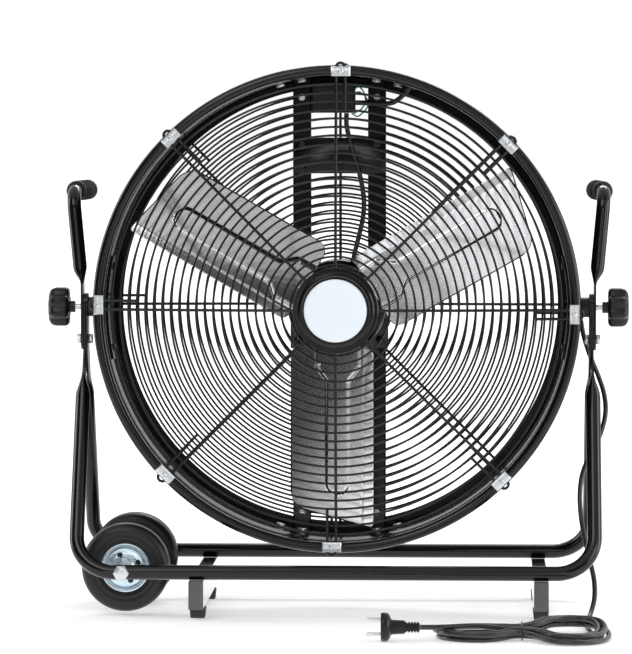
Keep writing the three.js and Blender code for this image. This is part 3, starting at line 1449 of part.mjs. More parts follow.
// The least free space between stretches of the hank that aren't neighbours along the cord.
function leastSelfGap(route) {
  const samples = [];
  for (let i = 0; i < route.length - 1; i += 1) {
    for (let k = 0; k < 6; k += 1) {
      samples.push([i + k / 6, route[i].clone().lerp(route[i + 1], k / 6)]);
    }
  }
  let least = Infinity;
  samples.forEach(([at, here], i) => {
    for (let j = i + 1; j < samples.length; j += 1) {
      if (samples[j][0] - at < 5) continue;
      least = Math.min(least, here.distanceTo(samples[j][1]) - 2 * CORD_R);
    }
  });
  return least;
}

// A wire tie round the waist of the hank.
function cordTie() {
  const half = HANK_FRONT[8][1] + HANK_PITCH * HANK_REVERSE + CORD_R + TIE_CLEARANCE + TIE_WIRE_R;
  const top = TIE_LIFT + HANK_LAYER + 2 * CORD_R + TIE_CLEARANCE + TIE_WIRE_R;
  const steps = 12;
  const rings = Array.from({ length: steps }, (_, k) => {
    const turn = (2 * Math.PI * k) / steps;
    const fuller = (value) => Math.sign(value) * Math.abs(value) ** 0.38;
    const y = HANK_Y + half * fuller(Math.cos(turn));
    const z = between(TIE_WIRE_R + 0.1, top, (1 + fuller(Math.sin(turn))) / 2);
    const outwards = point(0, Math.cos(turn), Math.sin(turn));
    return Array.from({ length: 4 }, (_, j) => {
      const around = (2 * Math.PI * j) / 4;
      return point(HANK_X + TIE_WIRE_R * Math.sin(around), y, z).addScaledVector(
        outwards,
        TIE_WIRE_R * Math.cos(around),
      );
    });
  });
  return loft(rings, true);
}

// A round two-pin plug with side earth flats, lying on its rim.
function plug() {
  const neckX = PLUG_FACE_X + PLUG_BODY;
  const reliefX = neckX + PLUG_NECK;
  const profile = [
    [0, PLUG_FACE_X],
    [PLUG_R - 1, PLUG_FACE_X],
    [PLUG_R, PLUG_FACE_X + 1],
    [PLUG_R, neckX - 6],
    [PLUG_R - 4, neckX - 1.5],
    [PLUG_NECK_R + 1, neckX],
    [PLUG_NECK_R, neckX + 3],
    [PLUG_NECK_R - 0.8, reliefX],
  ];
  const rib = PLUG_RELIEF / PLUG_RELIEF_RIBS;
  for (let k = 0; k < PLUG_RELIEF_RIBS; k += 1) {
    profile.push([PLUG_RELIEF_R - 1.8, reliefX + k * rib + 0.4]);
    profile.push([PLUG_RELIEF_R, reliefX + k * rib + rib * 0.5]);
  }
  profile.push([PLUG_RELIEF_R, reliefX + PLUG_RELIEF], [0, reliefX + PLUG_RELIEF]);
  const body = turnedX(profile, 10).translate(0, PLUG_Y, PLUG_Z);
  const pins = [-1, 1].map((up) =>
    barX(PLUG_Y, PLUG_Z + (up * PIN_SPACING) / 2, PIN_R, PLUG_FACE_X - PIN_LENGTH, PLUG_FACE_X + 2, 8),
  );
  return joined([body, ...pins]);
}

const FREE_ROUTE = freeCordRoute();
const HANK_ROUTE = hankRoute();
place("cord_free", tube(FREE_ROUTE, CORD_R, 8), CORD_PVC);
place("cord_hank", tube(HANK_ROUTE, CORD_R, 6), CORD_PVC);
place("cord_tie", cordTie(), ZINC);
place("plug", plug(), BLACK_PLASTIC);

console.log(`hank: least gap to itself ${leastSelfGap(HANK_ROUTE).toFixed(2)} mm`);
console.log(
  `cord: free ${lengthOf(FREE_ROUTE).toFixed(0)} mm, hank ${lengthOf(HANK_ROUTE).toFixed(0)} mm`,
);

export default fan;
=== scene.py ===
# %% [markdown]
# # A drum fan on a wheeled stand
# The solids that were made in CAD come in first. They hold every size, so nothing below
# changes the size of the fan: each piece gets a finer surface and a finish in the same place.
# Lengths are written in millimetres, because a fan maker thinks in them, and one function
# turns them into Blender's metres.

import bpy
import bmesh
import math
from mathutils import Matrix, Vector


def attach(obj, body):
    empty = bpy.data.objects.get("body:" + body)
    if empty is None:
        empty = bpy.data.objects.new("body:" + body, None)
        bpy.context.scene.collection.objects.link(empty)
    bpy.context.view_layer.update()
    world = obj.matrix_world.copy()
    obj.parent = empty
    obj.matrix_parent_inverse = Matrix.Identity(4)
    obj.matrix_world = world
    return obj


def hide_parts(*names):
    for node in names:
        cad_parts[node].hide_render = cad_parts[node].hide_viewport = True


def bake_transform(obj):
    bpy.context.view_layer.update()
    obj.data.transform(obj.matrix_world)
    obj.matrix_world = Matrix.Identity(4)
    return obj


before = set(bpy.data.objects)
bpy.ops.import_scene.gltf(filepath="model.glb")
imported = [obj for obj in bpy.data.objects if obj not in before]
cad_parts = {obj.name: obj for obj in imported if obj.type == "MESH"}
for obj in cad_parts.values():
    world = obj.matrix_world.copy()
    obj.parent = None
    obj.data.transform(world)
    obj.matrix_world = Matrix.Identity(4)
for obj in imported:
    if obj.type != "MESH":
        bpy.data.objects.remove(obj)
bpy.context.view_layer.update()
MM = 0.001
PIVOT_Z = 417.0
# The names of the sides, with their signs along X and along Y.
HANDS = (("left", -1), ("right", 1))
ENDS = (("front", -1), ("rear", 1))


# %% [markdown]
# ## Camera
# The photograph was taken from almost six metres away with a long lens, a little above and to
# the right of the fan. A long lens keeps the drum's rim round and shows little of its inside.

# %% Camera
CAMERA_AT = Vector((188, -5850, 676)) * MM
CAMERA_LOOKS_AT = Vector((-30.6, 0, 389.3)) * MM
LENS_MM, SENSOR_MM, CLIP_END_M = 234.2, 36, 100


def aimed(name, data, at, target):
    """Puts a camera or a lamp at a place and turns it to a target, both in metres."""
    obj = bpy.data.objects.new(name, data)
    obj.location = at
    obj.rotation_mode = "QUATERNION"
    obj.rotation_quaternion = (Vector(target) - Vector(at)).to_track_quat("-Z", "Y")
    bpy.context.scene.collection.objects.link(obj)
    return obj


camera_data = bpy.data.cameras.new("camera")
camera_data.lens = LENS_MM
camera_data.sensor_width = SENSOR_MM
camera_data.clip_end = CLIP_END_M
bpy.context.scene.camera = aimed("camera", camera_data, CAMERA_AT, CAMERA_LOOKS_AT)
bpy.context.scene.view_settings.view_transform = "Standard"
print("camera is", round((CAMERA_LOOKS_AT - CAMERA_AT).length, 2), "m away")

# %% [markdown]
# ## Small tools for finishes
# A finish is a node tree. Colours are written as the hex values that a paint chart gives, and
# one function turns them into the linear numbers that light is worked out with. One more
# function adds a node, sets it and links it.


# %% Colour and node helpers
def linear(code, alpha=1.0):
    channels = [int(code[i : i + 2], 16) / 255 for i in (1, 3, 5)]
    return [c / 12.92 if c <= 0.04045 else ((c + 0.055) / 1.055) ** 2.4 for c in channels] + [alpha]


def add(tree, kind, inputs=None, **settings):
    node = tree.nodes.new(kind)
    for key, value in settings.items():
        setattr(node, key, value)
    for key, value in (inputs or {}).items():
        if isinstance(value, bpy.types.NodeSocket):
            tree.links.new(value, node.inputs[key])
        else:
            node.inputs[key].default_value = value
    return node


def finish(name, colour, roughness, metallic=0.0, grain=None, tint=None, **shader):
    """grain is (size in mm, height in mm); tint is (second colour, patch size in mm)."""
    material = bpy.data.materials.new(name)
    material.use_nodes = True
    tree = material.node_tree
    paint = tree.nodes["Principled BSDF"]
    plain = {"Base Color": linear(colour), "Roughness": roughness, "Metallic": metallic}
    for key, value in (plain | shader).items():
        paint.inputs[key.replace("_", " ")].default_value = value
    place = add(tree, "ShaderNodeTexCoord").outputs["Object"]

    def noise(size, detail):
        inputs = {"Vector": place, "Scale": 1 / (size * MM), "Detail": detail}
        return add(tree, "ShaderNodeTexNoise", inputs).outputs["Fac"]

    if tint:
        inputs = {0: noise(tint[1], 3.0), 6: linear(colour), 7: linear(tint[0])}
        mixed = add(tree, "ShaderNodeMix", inputs, data_type="RGBA")
        tree.links.new(mixed.outputs[2], paint.inputs["Base Color"])
    if grain:
        inputs = {"Height": noise(grain[0], 2.0), "Distance": grain[1] * MM, "Strength": 0.6}
        bump = add(tree, "ShaderNodeBump", inputs)
        tree.links.new(bump.outputs["Normal"], paint.inputs["Normal"])
    return material


# %% [markdown]
# ## The finishes
# Almost everything on this fan is black, so the finishes differ by their shine. Stove enamel on
# the drum and tubes is smooth with a faint orange peel, wire is a little rougher, rubber is dull
# and plastic has a fine moulded grain. The blades are grey painted sheet with a metal flake, and
# the fasteners are zinc, which has a cool tint from its passivation.

# %% Finishes
# Stove enamel: near black, glossy, with a slow waviness that softens long reflections.
stove_enamel = finish(
    "black stove enamel on steel", "#08090a", 0.17, grain=(9.0, 0.008), tint=("#0d0e10", 60),
    Specular_IOR_Level=0.3,
)
# Dipped wire: the same black, a little rougher, so that the thin wires stay dark lines.
wire_enamel = finish(
    "black enamelled wire", "#0b0c0d", 0.3, grain=(4.0, 0.02), Specular_IOR_Level=0.3
)
# Flake paint: fine aluminium flake in grey lacquer, so it mirrors the studio in soft bands.
flake_paint = finish(
    "grey flake paint on sheet steel", "#bfc1c4", 0.15, 1.0, (12.0, 0.004), ("#cbccce", 25)
)
# Zinc: a bright grain with darker patches, as barrel plating leaves it.
zinc_plate = finish("bright zinc plating", "#cdd0d2", 0.27, 0.7, (1.8, 0.03), ("#b0b4b8", 5))
# Passivation gives the rims a cold blue with warmer patches.
rim_zinc = finish("blue passivated zinc", "#a9c3d2", 0.26, 0.8, (2.4, 0.03), ("#d0d8dc", 9))
# Ground bar: the brightest metal, with fine turning marks.
ground_steel = finish("ground steel bar", "#b9bbbe", 0.2, 1.0, (0.8, 0.01))
# Rubber: dull, with a fine dusty grain; the tyres are a little smoother than the grips.
tyre_rubber = finish(
    "tyre rubber", "#0e0e0f", 0.4, grain=(1.5, 0.02), tint=("#161616", 12),
    Specular_IOR_Level=0.32,
)
grip_rubber = finish("grip and pad rubber", "#171717", 0.62, 0.0, (1.0, 0.05), ("#1f1f1f", 6))
# Moulded ABS: a spark-eroded grain that spreads the highlight.
black_abs = finish(
    "black moulded ABS", "#0d0d0e", 0.34, grain=(0.9, 0.03), tint=("#161617", 20),
    Specular_IOR_Level=0.25,
)
grey_abs = finish("dark grey moulded ABS", "#494a4b", 0.5, 0.0, (0.9, 0.03), ("#525354", 10))
# Lacquered plate: pale and even, under a clear coat.
badge_plate = finish(
    "pale lacquered badge plate", "#e2e9f1", 0.35, grain=(5.0, 0.01), tint=("#dfe7ef", 30),
    Coat_Weight=0.3,
)
# PVC flex: smooth and slightly soft, with the faint lay of its cores.
cord_pvc = finish("black PVC cord jacket", "#131314", 0.34, 0.0, (3.0, 0.04), ("#1a1a1b", 15))
earth_pvc = finish("green PVC earth wire", "#2f9a6a", 0.4, tint=("#3aa374", 4))

# %% [markdown]
# ## Small tools for shapes
# Sheet metal and turned parts come from a handful of shop moves: turning a profile on a lathe,
# pressing and folding a block, and bending a tube. Each has one function here. The profile is
# spun, the block is bevelled, and the tube is a row of rings joined by bridges.


# %% Shape helpers
AXES = {"X": Vector((1, 0, 0)), "Y": Vector((0, 1, 0)), "Z": Vector((0, 0, 1))}
ORIGIN, FAN_CENTRE = (0, 0, 0), (0, 0, PIVOT_Z)


def keep(obj, body, material, *nodes):
    obj.data.materials.clear()
    obj.data.materials.append(material)
    if nodes:
        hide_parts(*nodes)
    if body:
        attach(obj, body)
    return obj


def bake(bm, name, crease=32, flat=False):
    """Ends the drawing of a piece: it becomes a Blender object, in metres."""
    name = name.replace(" ", "_")
    bmesh.ops.remove_doubles(bm, verts=bm.verts, dist=0.002)
    bmesh.ops.recalc_face_normals(bm, faces=bm.faces)
    bmesh.ops.scale(bm, vec=(MM, MM, MM), verts=bm.verts)
    mesh = bpy.data.meshes.new(name)
    bm.to_mesh(mesh)
    bm.free()
    if not flat:
        mesh.shade_smooth()
        mesh.set_sharp_from_angle(angle=math.radians(crease))
    obj = bpy.data.objects.new(name, mesh)
    bpy.context.scene.collection.objects.link(obj)
    return obj


def piece(bm, name, body, material, *nodes, crease=32):
    return keep(bake(bm, name, crease), body, material, *nodes)


def edges_of(verts):
    """The edges at some corners, each once and in a fixed order."""
    return list(dict.fromkeys(e for v in verts for e in v.link_edges))


def corners_of(made):
    return [item for item in made if isinstance(item, bmesh.types.BMVert)]


def soften(bm, edges, offset, segments):
    """Rounds edges, as a press or a mould does."""
    bmesh.ops.bevel(
        bm, geom=edges, offset=offset, segments=segments, profile=0.5, affect="EDGES", material=-1
    )


def shift(verts, turn_to, by):
    """Turns corners about the origin, and moves them after that."""
    for v in verts:
        v.co = turn_to @ v.co + by


def turn(profile, steps=64, axis="Y", centre=FAN_CENTRE):
    """Spins (radius, along) points about an axis. A profile that starts off it is a closed one."""
    bm = bmesh.new()
    side = AXES["Z"] if axis != "Z" else AXES["X"]
    centre = Vector(centre)
    verts = [bm.verts.new(centre + side * r + AXES[axis] * along) for r, along in profile]
    edges = [bm.edges.new(pair) for pair in zip(verts, verts[1:])]
    if profile[0][0] > 0:
        edges.append(bm.edges.new((verts[-1], verts[0])))
    bmesh.ops.spin(
        bm, geom=verts + edges, cent=centre, axis=AXES[axis], angle=math.tau, steps=steps,
        use_merge=True,
    )
    return bm


def turned(name, profile, steps=64, axis="Y", centre=FAN_CENTRE, crease=32):
    return bake(turn(profile, steps, axis, centre), name, crease)


def block(low, high, round_by=0.0, segments=2):
    """A block with its edges rounded."""
    bm = bmesh.new()
    middle = (Vector(low) + Vector(high)) / 2
    made = bmesh.ops.create_cube(bm, size=1.0)["verts"]
    bmesh.ops.scale(bm, vec=Vector(high) - Vector(low), verts=made)
    bmesh.ops.translate(bm, vec=middle, verts=made)
    if round_by:
        soften(bm, edges_of(made), round_by, segments)
    return bm


def hexagon(bm, centre, axis, across, thick, chamfer=0.8):
    """A hexagonal head or nut standing on its centre, along an axis of either sign."""
    direction = Vector(axis)
    turn_to = direction.to_track_quat("Z", "X").to_matrix().to_4x4()
    place = Matrix.Translation(Vector(centre) + direction * thick / 2) @ turn_to
    radius = across / math.sqrt(3)
    made = bmesh.ops.create_cone(
        bm, cap_ends=True, segments=6, radius1=radius, radius2=radius, depth=thick, matrix=place
    )["verts"]
    soften(bm, edges_of(made), chamfer, 2)
    return bm


def ring_at(bm, place, sides, radius, plate_half, plate_thin, flat):
    """One section of a tube: a circle that a press has flattened, in part or fully."""
    made = bmesh.ops.create_circle(bm, segments=sides, radius=1.0)["verts"]
    for v in made:
        pressed = max(-plate_thin, min(plate_thin, plate_half * v.co.x))
        v.co.x = radius * v.co.x * (1 - flat) + pressed * flat
        v.co.y = (radius * (1 - flat) + plate_half * flat) * v.co.y
        v.co = place @ v.co
    return made


def bend_tube(name, route, section, sides=24, wide=(0, 1, 0), crease=50):
    """A tube through a row of points; section(point) gives what ring_at needs after sides."""
    bm = bmesh.new()
    rings = []
    wide = Vector(wide)
    for i, at in enumerate(route):
        before = route[max(i - 1, 0)]
        after = route[min(i + 1, len(route) - 1)]
        along = (after - before).normalized()
        wide = (wide - along * wide.dot(along)).normalized()
        place = Matrix((wide.cross(along), wide, along)).transposed().to_4x4()
        place.translation = at
        rings.append(ring_at(bm, place, sides, *section(at)))
    loops = [edges_of(ring) for ring in rings]
    for here, there in zip(loops, loops[1:]):
        bmesh.ops.bridge_loops(bm, edges=here + there)
    bmesh.ops.holes_fill(bm, edges=loops[0] + loops[-1], sides=0)
    return bake(bm, name, crease)


def rounded(corners, step_degrees=6):
    """Points along straight runs whose corners are bent to a radius: (point, radius)."""
    route = [Vector(corners[0][0])]
    for (a, _), (b, radius), (c, _) in zip(corners, corners[1:], corners[2:]):
        a, b, c = Vector(a), Vector(b), Vector(c)
        come, go = (b - a).normalized(), (c - b).normalized()
        angle = come.angle(go)
        if radius == 0 or angle < 1e-4:
            route.append(b)
            continue
        start = b - come * radius * math.tan(angle / 2)
        inward = (go - come * go.dot(come)).normalized()
        steps = max(2, round(math.degrees(angle) / step_degrees))
        for k in range(steps + 1):
            t = angle * k / steps
            route.append(start + come * radius * math.sin(t) + inward * radius * (1 - math.cos(t)))
    route.append(Vector(corners[-1][0]))
    return route


def wires(name, lines, radius, sides=2):
    """Round wire along lines of points as a mesh; each line is (points, is a closed ring)."""
    curve = bpy.data.curves.new(name.replace(" ", "_"), "CURVE")
    curve.dimensions = "3D"
    curve.bevel_depth = radius * MM
    curve.bevel_resolution = sides
    curve.use_fill_caps = True
    for points, closed in lines:
        spline = curve.splines.new("POLY")
        spline.points.add(len(points) - 1)
        spline.use_cyclic_u = closed
        spline.use_smooth = True
        for item, p in zip(spline.points, points):
            item.co = (p[0] * MM, p[1] * MM, p[2] * MM, 1)
    drawn = bpy.data.objects.new(curve.name, curve)
    bpy.context.scene.collection.objects.link(drawn)
    graph = bpy.context.evaluated_depsgraph_get()
    mesh = bpy.data.meshes.new_from_object(drawn.evaluated_get(graph))
    mesh.shade_smooth()
    made = bpy.data.objects.new(drawn.name + "_mesh", mesh)
    bpy.context.scene.collection.objects.link(made)
    bpy.data.objects.remove(drawn)
    return made


def run_length(points):
    return sum((b - a).length for a, b in zip(points, points[1:]))


def spread(fine, count):
    """Evenly spaced points along a row of close ones, from its first to its last."""
    gaps = [0.0]
    for here, there in zip(fine, fine[1:]):
        gaps.append(gaps[-1] + (there - here).length)
    even, j = [], 0
    for k in range(count + 1):
        want = gaps[-1] * k / count
        while j < len(gaps) - 2 and gaps[j + 1] < want:
            j += 1
        part = (want - gaps[j]) / max(gaps[j + 1] - gaps[j], 1e-9)
        even.append(fine[j].lerp(fine[j + 1], part))
    return even


def smooth_route(points, step):
    """Evenly spaced points on a smooth curve through a few points (centripetal Catmull-Rom)."""
    pts = [Vector(p) for p in points]
    pts = [pts[0] * 2 - pts[1]] + pts + [pts[-1] * 2 - pts[-2]]
    fine = []
    for a, b, c, d in zip(pts, pts[1:], pts[2:], pts[3:]):
        t1 = math.sqrt((b - a).length)
        t2 = t1 + math.sqrt((c - b).length)
        t3 = t2 + math.sqrt((d - c).length)
        for k in range(24):
            t = t1 + (t2 - t1) * k / 24

            def mix(p, q, start, end):
                return p * ((end - t) / (end - start)) + q * ((t - start) / (end - start))

            middle = mix(b, c, t1, t2)
            before = mix(mix(a, b, 0.0, t1), middle, 0.0, t2)
            after = mix(middle, mix(c, d, t2, t3), t1, t3)
            fine.append(mix(before, after, t1, t2))
    fine.append(pts[-2])
    return spread(fine, max(2, round(run_length(fine) / step)))


def ease(value):
    """Goes from 0 to 1 with a soft start and a soft end."""
    part = min(max(value, 0.0), 1.0)
    return part * part * (3 - 2 * part)


# %% [markdown]
# ## Mains cord
# The cord is 7 mm three-core flex. It leaves a strain relief on the drum, hangs outside the
# legs, runs along the floor and lies in front of the right foot as a hank with a wire tie. Its
# free stretch would have to follow the drum at one end and the stand at the other when the drum
# tilts; here it is one mesh that is tied to neither.

# %% Free stretch of the cord
CORD_R = 3.5
LEAD_Y = 30.0
RELIEF_TOP = Vector((327.2, LEAD_Y, 438))
RELIEF_BOTTOM = Vector((332.6, LEAD_Y, 408))
slant = (RELIEF_BOTTOM - RELIEF_TOP).normalized()
cord_exit = RELIEF_BOTTOM + slant * 0.3
HANK_AT = Vector((250, -337, 0))
hank_start = HANK_AT + Vector((94, 7, CORD_R))
free_points = [cord_exit, cord_exit + slant * 7.7, (338.5, 31, 376), (347.5, 34, 348)]
free_points += [(358, 35, 323), (366.5, 29, 297), (368.5, 16, 272), (362, 3, 245)]
free_points += [(347, -8, 215), (336, -12, 188), (332.5, -20, 160), (334, -35, 130)]
free_points += [(339, -58, 102), (345, -84, 76), (350, -106, 52), (350, -128, 31)]
free_points += [(345, -150, 14), (339.5, -174, 5.2)]
# From here it lies on the floor.
for x, y in ((337.5, -200), (337.5, -228), (338, -256), (340, -284), (343, -308)):
    free_points.append((x, y, CORD_R))
free_points += [hank_start + Vector((0, 8, 0)), hank_start + Vector((0, 0.3, 0))]
free_line = smooth_route(free_points, 6)
print("free stretch is", round(run_length(free_line)), "mm long")

# %% [markdown]
# ## Hank
# A hank is wound round two fingers: the loops lie beside each other, drawn in at the tie. One
# loop is drawn here, and the winding moves it out by a cord's width a turn, climbs one layer,
# and comes back in. Where the loops cross the incoming cord they ride over it.

# %% Hank
HANK_WAIST = 4
HANK_FRONT = [(94, 0), (91.5, 20), (84.6, 40.5), (77.8, 50.9), (63.7, 56), (49.6, 50.9)]
HANK_FRONT += [(42.1, 38.4), (27.1, 13.6), (0, HANK_WAIST), (-19.5, 8.7), (-34.4, 21.2)]
HANK_FRONT += [(-52, 30), (-74, 25.5), (-88.5, 14), (-94, 0)]
HANK_TURNS, HANK_REVERSE, HANK_PITCH, HANK_LAYER = 4.29, 2.25, 9.5, 8.0
HANK_CROSSING, HANK_CROSS_LIFT = (0.69, 0.83, 0.93, 1.05), 8.6
TIE_LIFT, TIE_REACH, LOOP_STEPS = 2.7, 45, 48


def closed_loop(points, count):
    """Evenly spaced places on a smooth closed loop through points on the floor."""
    wrapped = points[-3:] + points + points[:4]
    line = smooth_route([(x, y, 0) for x, y in wrapped], 0.5)
    home = Vector((*points[0], 0))

    def nearest(places):
        return min(places, key=lambda i: (line[i] - home).length)

    half = len(line) // 2
    first, last = nearest(range(half)), nearest(range(half, len(line)))
    return spread(line[first : last + 1], count)[:-1]


front_half = [(x, -y) for x, y in HANK_FRONT]
one_loop = closed_loop(front_half + HANK_FRONT[-2:0:-1], LOOP_STEPS)


def wound(k):
    turns = k / LOOP_STEPS
    i = k % LOOP_STEPS
    part = i / LOOP_STEPS
    along = (one_loop[(i + 1) % LOOP_STEPS] - one_loop[i - 1]).normalized()
    out = HANK_REVERSE - abs(turns - HANK_REVERSE)
    at = one_loop[i] + Vector((-along.y, along.x, 0)) * HANK_PITCH * out
    rise, high, fall, low = HANK_CROSSING

    def over(phase):
        return ease((phase - rise) / (high - rise)) - ease((phase - fall) / (low - fall))

    crossing = over(part) + (over(part + 1) if turns >= 1 else 0)
    layer = ease((turns - HANK_REVERSE) * 2 + 0.5)
    tied = 1 - ease(abs(at.x) / TIE_REACH)
    at.z = CORD_R + HANK_LAYER * layer + HANK_CROSS_LIFT * crossing + TIE_LIFT * tied
    return at + HANK_AT


hank_line = [hank_start] + [wound(k) for k in range(round(HANK_TURNS * LOOP_STEPS) + 1)]
PLUG_Y, PLUG_Z, PLUG_END = -372.0, 19.0, 118.0
plug_points = [hank_line[-1], (226, -344.5, 14.6), (204, -348, 17), (182, -354.5, PLUG_Z)]
plug_points += [(160, -363.5, PLUG_Z), (140, PLUG_Y + 1.2, PLUG_Z)]
plug_points += [(PLUG_END + 7.7, PLUG_Y, PLUG_Z), (PLUG_END, PLUG_Y, PLUG_Z)]
hank_line += smooth_route(plug_points, 5)[1:]
print("hank is", round(run_length(hank_line)), "mm long, lowest loop at z", CORD_R)

# %% [markdown]
# The free stretch and the hank are one length of flex, so they are one tube. It is not
# attached to the drum or the stand, so it does not bend with the tilt.

# %% The whole cord
# A hair is left between loops that lie on each other.
HAIR = 0.08
cord_line = free_line[:-1] + hank_line


def tube_mesh(name, route, radius, sides=14):
    return bend_tube(name, route, lambda at: (radius, radius, radius, 0.0), sides, (0, 1, 0.02))


cord = tube_mesh("Mains cord", cord_line, CORD_R - HAIR)
keep(cord, None, cord_pvc, "cord_free", "cord_hank")
print("cord is", round(run_length(cord_line)), "mm long in all,", len(cord_line), "rings")

# %% [markdown]
# ## Drum
# The drum is one sheet, 1.6 mm thick, rolled into a ring and seam welded. Two swages are rolled
# into it to keep it round, both rims are rolled over a wire, and the rear mouth closes in to
# guide the air. It is a turned profile, so it is drawn as one closed section and spun.

# %% Drum shell
DRUM_R, BARREL_R, BARREL_IN, HALF_DEPTH, BEAD_R = 332.0, 320.0, 318.4, 85.0, 7.0
SWAGE_Y, SHEET = 50, 1.6


def bead(side, start, stop, steps=20):
    arc = []
    for k in range(steps + 1):
        t = math.radians(start + (stop - start) * k / steps)
        across = DRUM_R - BEAD_R + BEAD_R * math.cos(t)
        arc.append((across, side * (HALF_DEPTH - BEAD_R + BEAD_R * math.sin(t))))
    return arc


def swage(radius, y):
    bump = []
    for k in range(17):
        s = (k / 16 * 2 - 1) * 7.5
        bump.append((radius + 3 * (1 - ease((abs(s) - 2.6) / 4.9)), y + s))
    return bump


shell_profile = bead(-1, 180, -60) + [(321.6, -69.6), (BARREL_R, -67.6)]
swages = swage(BARREL_R, -SWAGE_Y) + swage(BARREL_R, SWAGE_Y)
shell_profile += swages + [(BARREL_R, 67.6), (321.6, 69.6)] + bead(1, -60, 104)
shell_profile += [(317, 84.9), (306, 84.9), (303.9, 84.7), (303.5, 84.2), (303.9, 83.4)]
shell_profile += [(316, 83.3), (BARREL_IN, 80.5)]
shell_profile += [(r - SHEET, y) for r, y in swages[::-1]] + [(BARREL_IN, -71)]
drum = keep(turned("Drum shell", shell_profile, 168), "drum", stove_enamel, "drum_shell")
print("drum faces:", len(drum.data.polygons))

# %% [markdown]
# ## Guards
# Each guard is 22 rings of 3 mm wire that are spot welded to eight hairpins of 4 mm wire. A
# hairpin's long leg runs from the middle to the rim and its short leg comes back beside it, to
# double the outer third, where a hand would lean. The front guard is domed by 30 mm, and the
# rear one by 12 mm. Wire is drawn as lines with a round section.

# %% Guard wires
RINGS = [61.4 + 11.65 * k for k in range(22)]
SPOKES, HAIRPIN_GAP, HAIRPIN_R, SHORT_LEG_R, DOME_R = 8, 12.0, 328.6, 271.0, 300.0
RING_WIRE_R, SPOKE_WIRE_R = 1.5, 2.0


def dome_y(side, seat, dome, radius):
    return side * (HALF_DEPTH + seat + dome * max(0.0, 1 - (radius / DOME_R) ** 2))


def polar(radius, angle, y, across=0.0):
    x = math.cos(angle) * radius + math.sin(angle) * across
    z = math.sin(angle) * radius - math.cos(angle) * across
    return (x, y, PIVOT_Z + z)


def guard(name, side, seat, dome, start, weld):
    rings, spokes = [], []
    for radius in RINGS:
        y = dome_y(side, seat, dome, radius) - side * weld
        rings.append(([polar(radius, math.tau * k / 120, y) for k in range(120)], True))
    bend, far = HAIRPIN_GAP / 2, dome_y(side, seat, dome, HAIRPIN_R)
    for n in range(SPOKES):
        angle = math.tau * n / SPOKES

        def leg(radius, across=0.0):
            return polar(radius, angle, dome_y(side, seat, dome, radius), across)

        line = [leg(start + (HAIRPIN_R - start) * k / 14) for k in range(15)]
        for k in range(1, 12):
            t = math.pi * k / 12
            out, across = HAIRPIN_R + bend * math.sin(t), bend - bend * math.cos(t)
            line.append(polar(out, angle, far, across))
        for k in range(6):
            line.append(leg(HAIRPIN_R + (SHORT_LEG_R - HAIRPIN_R) * k / 5, HAIRPIN_GAP))
        spokes.append((line, False))
    ring_mesh = wires(name + " rings", rings, RING_WIRE_R)
    return ring_mesh, wires(name + " spokes", spokes, SPOKE_WIRE_R)


for wirework in guard("Front guard", -1, 2.7, 30, 46, 3.6):
    keep(wirework, "drum", wire_enamel, "front_guard")
for wirework in guard("Rear guard", 1, 5.79, 12, 59, 3.9):
    keep(wirework, "drum", wire_enamel, "rear_guard")
print("guard rings from", RINGS[0], "to", round(RINGS[-1], 1), "mm")

# %% [markdown]
# ## Centre plate and badge
# The inner ends of the front spokes are welded to a pressed plate with a raised rim. A plain
# lacquered disc is glued inside the rim, and its edge is rolled down.

# %% Centre plate and badge
plate = [(0, -117.6), (57.2, -117.6), (58, -118.1), (58, -119.4), (57.2, -120.2)]
plate += [(52.6, -120.4), (51.2, -121.6), (50.4, -123.3), (49.4, -123.8), (43.6, -123.8)]
plate += [(43.0, -123.3), (43.0, -120.2), (0, -120.2)]
keep(turned("Centre plate", plate, 96), "drum", stove_enamel, "front_guard")
disc = [(0, -120.5), (42.4, -120.5), (42.7, -121.2), (42.6, -122.6), (41.4, -123.3)]
disc += [(39, -123.7), (36, -123.85), (20, -124.1), (0, -124.25)]
keep(turned("Badge", disc, 96), "drum", badge_plate, "badge_disc")

# %% [markdown]
# ## Guard clips
# A clip is a zinc plated strap, 26 by 13 mm, that bridges the two legs of a hairpin. A screw
# with a domed head pulls it down on the rolled rim. At the rear a black plate does the same.


# %% Guard clips
CLIP_R = 323


def folded(half, web, lip, corner, sheet, half_high):
    """A folded channel along Z: its web is at y = web and its two lips end at y = lip."""
    outline = [(-half, lip), (-half, web + corner), (-half + corner, web)]
    outline += [(half - corner, web), (half, web + corner), (half, lip)]
    outline += [(half - sheet, lip), (half - sheet, web + sheet)]
    outline += [(-half + sheet, web + sheet), (-half + sheet, lip)]
    bm = bmesh.new()
    face = bm.faces.new([bm.verts.new((x, y, -half_high)) for x, y in outline])
    moved = corners_of(bmesh.ops.extrude_face_region(bm, geom=[face])["geom"])
    bmesh.ops.translate(bm, vec=(0, 0, 2 * half_high), verts=moved)
    bmesh.ops.recalc_face_normals(bm, faces=bm.faces)
    return bm


def domed_head(bm, centre, direction, radius, height, steps=24):
    """A pan head: a half of a flattened ball that stands on its centre."""
    ball = bmesh.ops.create_uvsphere(bm, u_segments=steps, v_segments=12, radius=radius)["verts"]
    turn_to = Vector(direction).to_track_quat("Z", "X").to_matrix().to_4x4()
    shift(ball, turn_to @ Matrix.Diagonal((1, 1, height / radius, 1)), Vector(centre))
    return bm


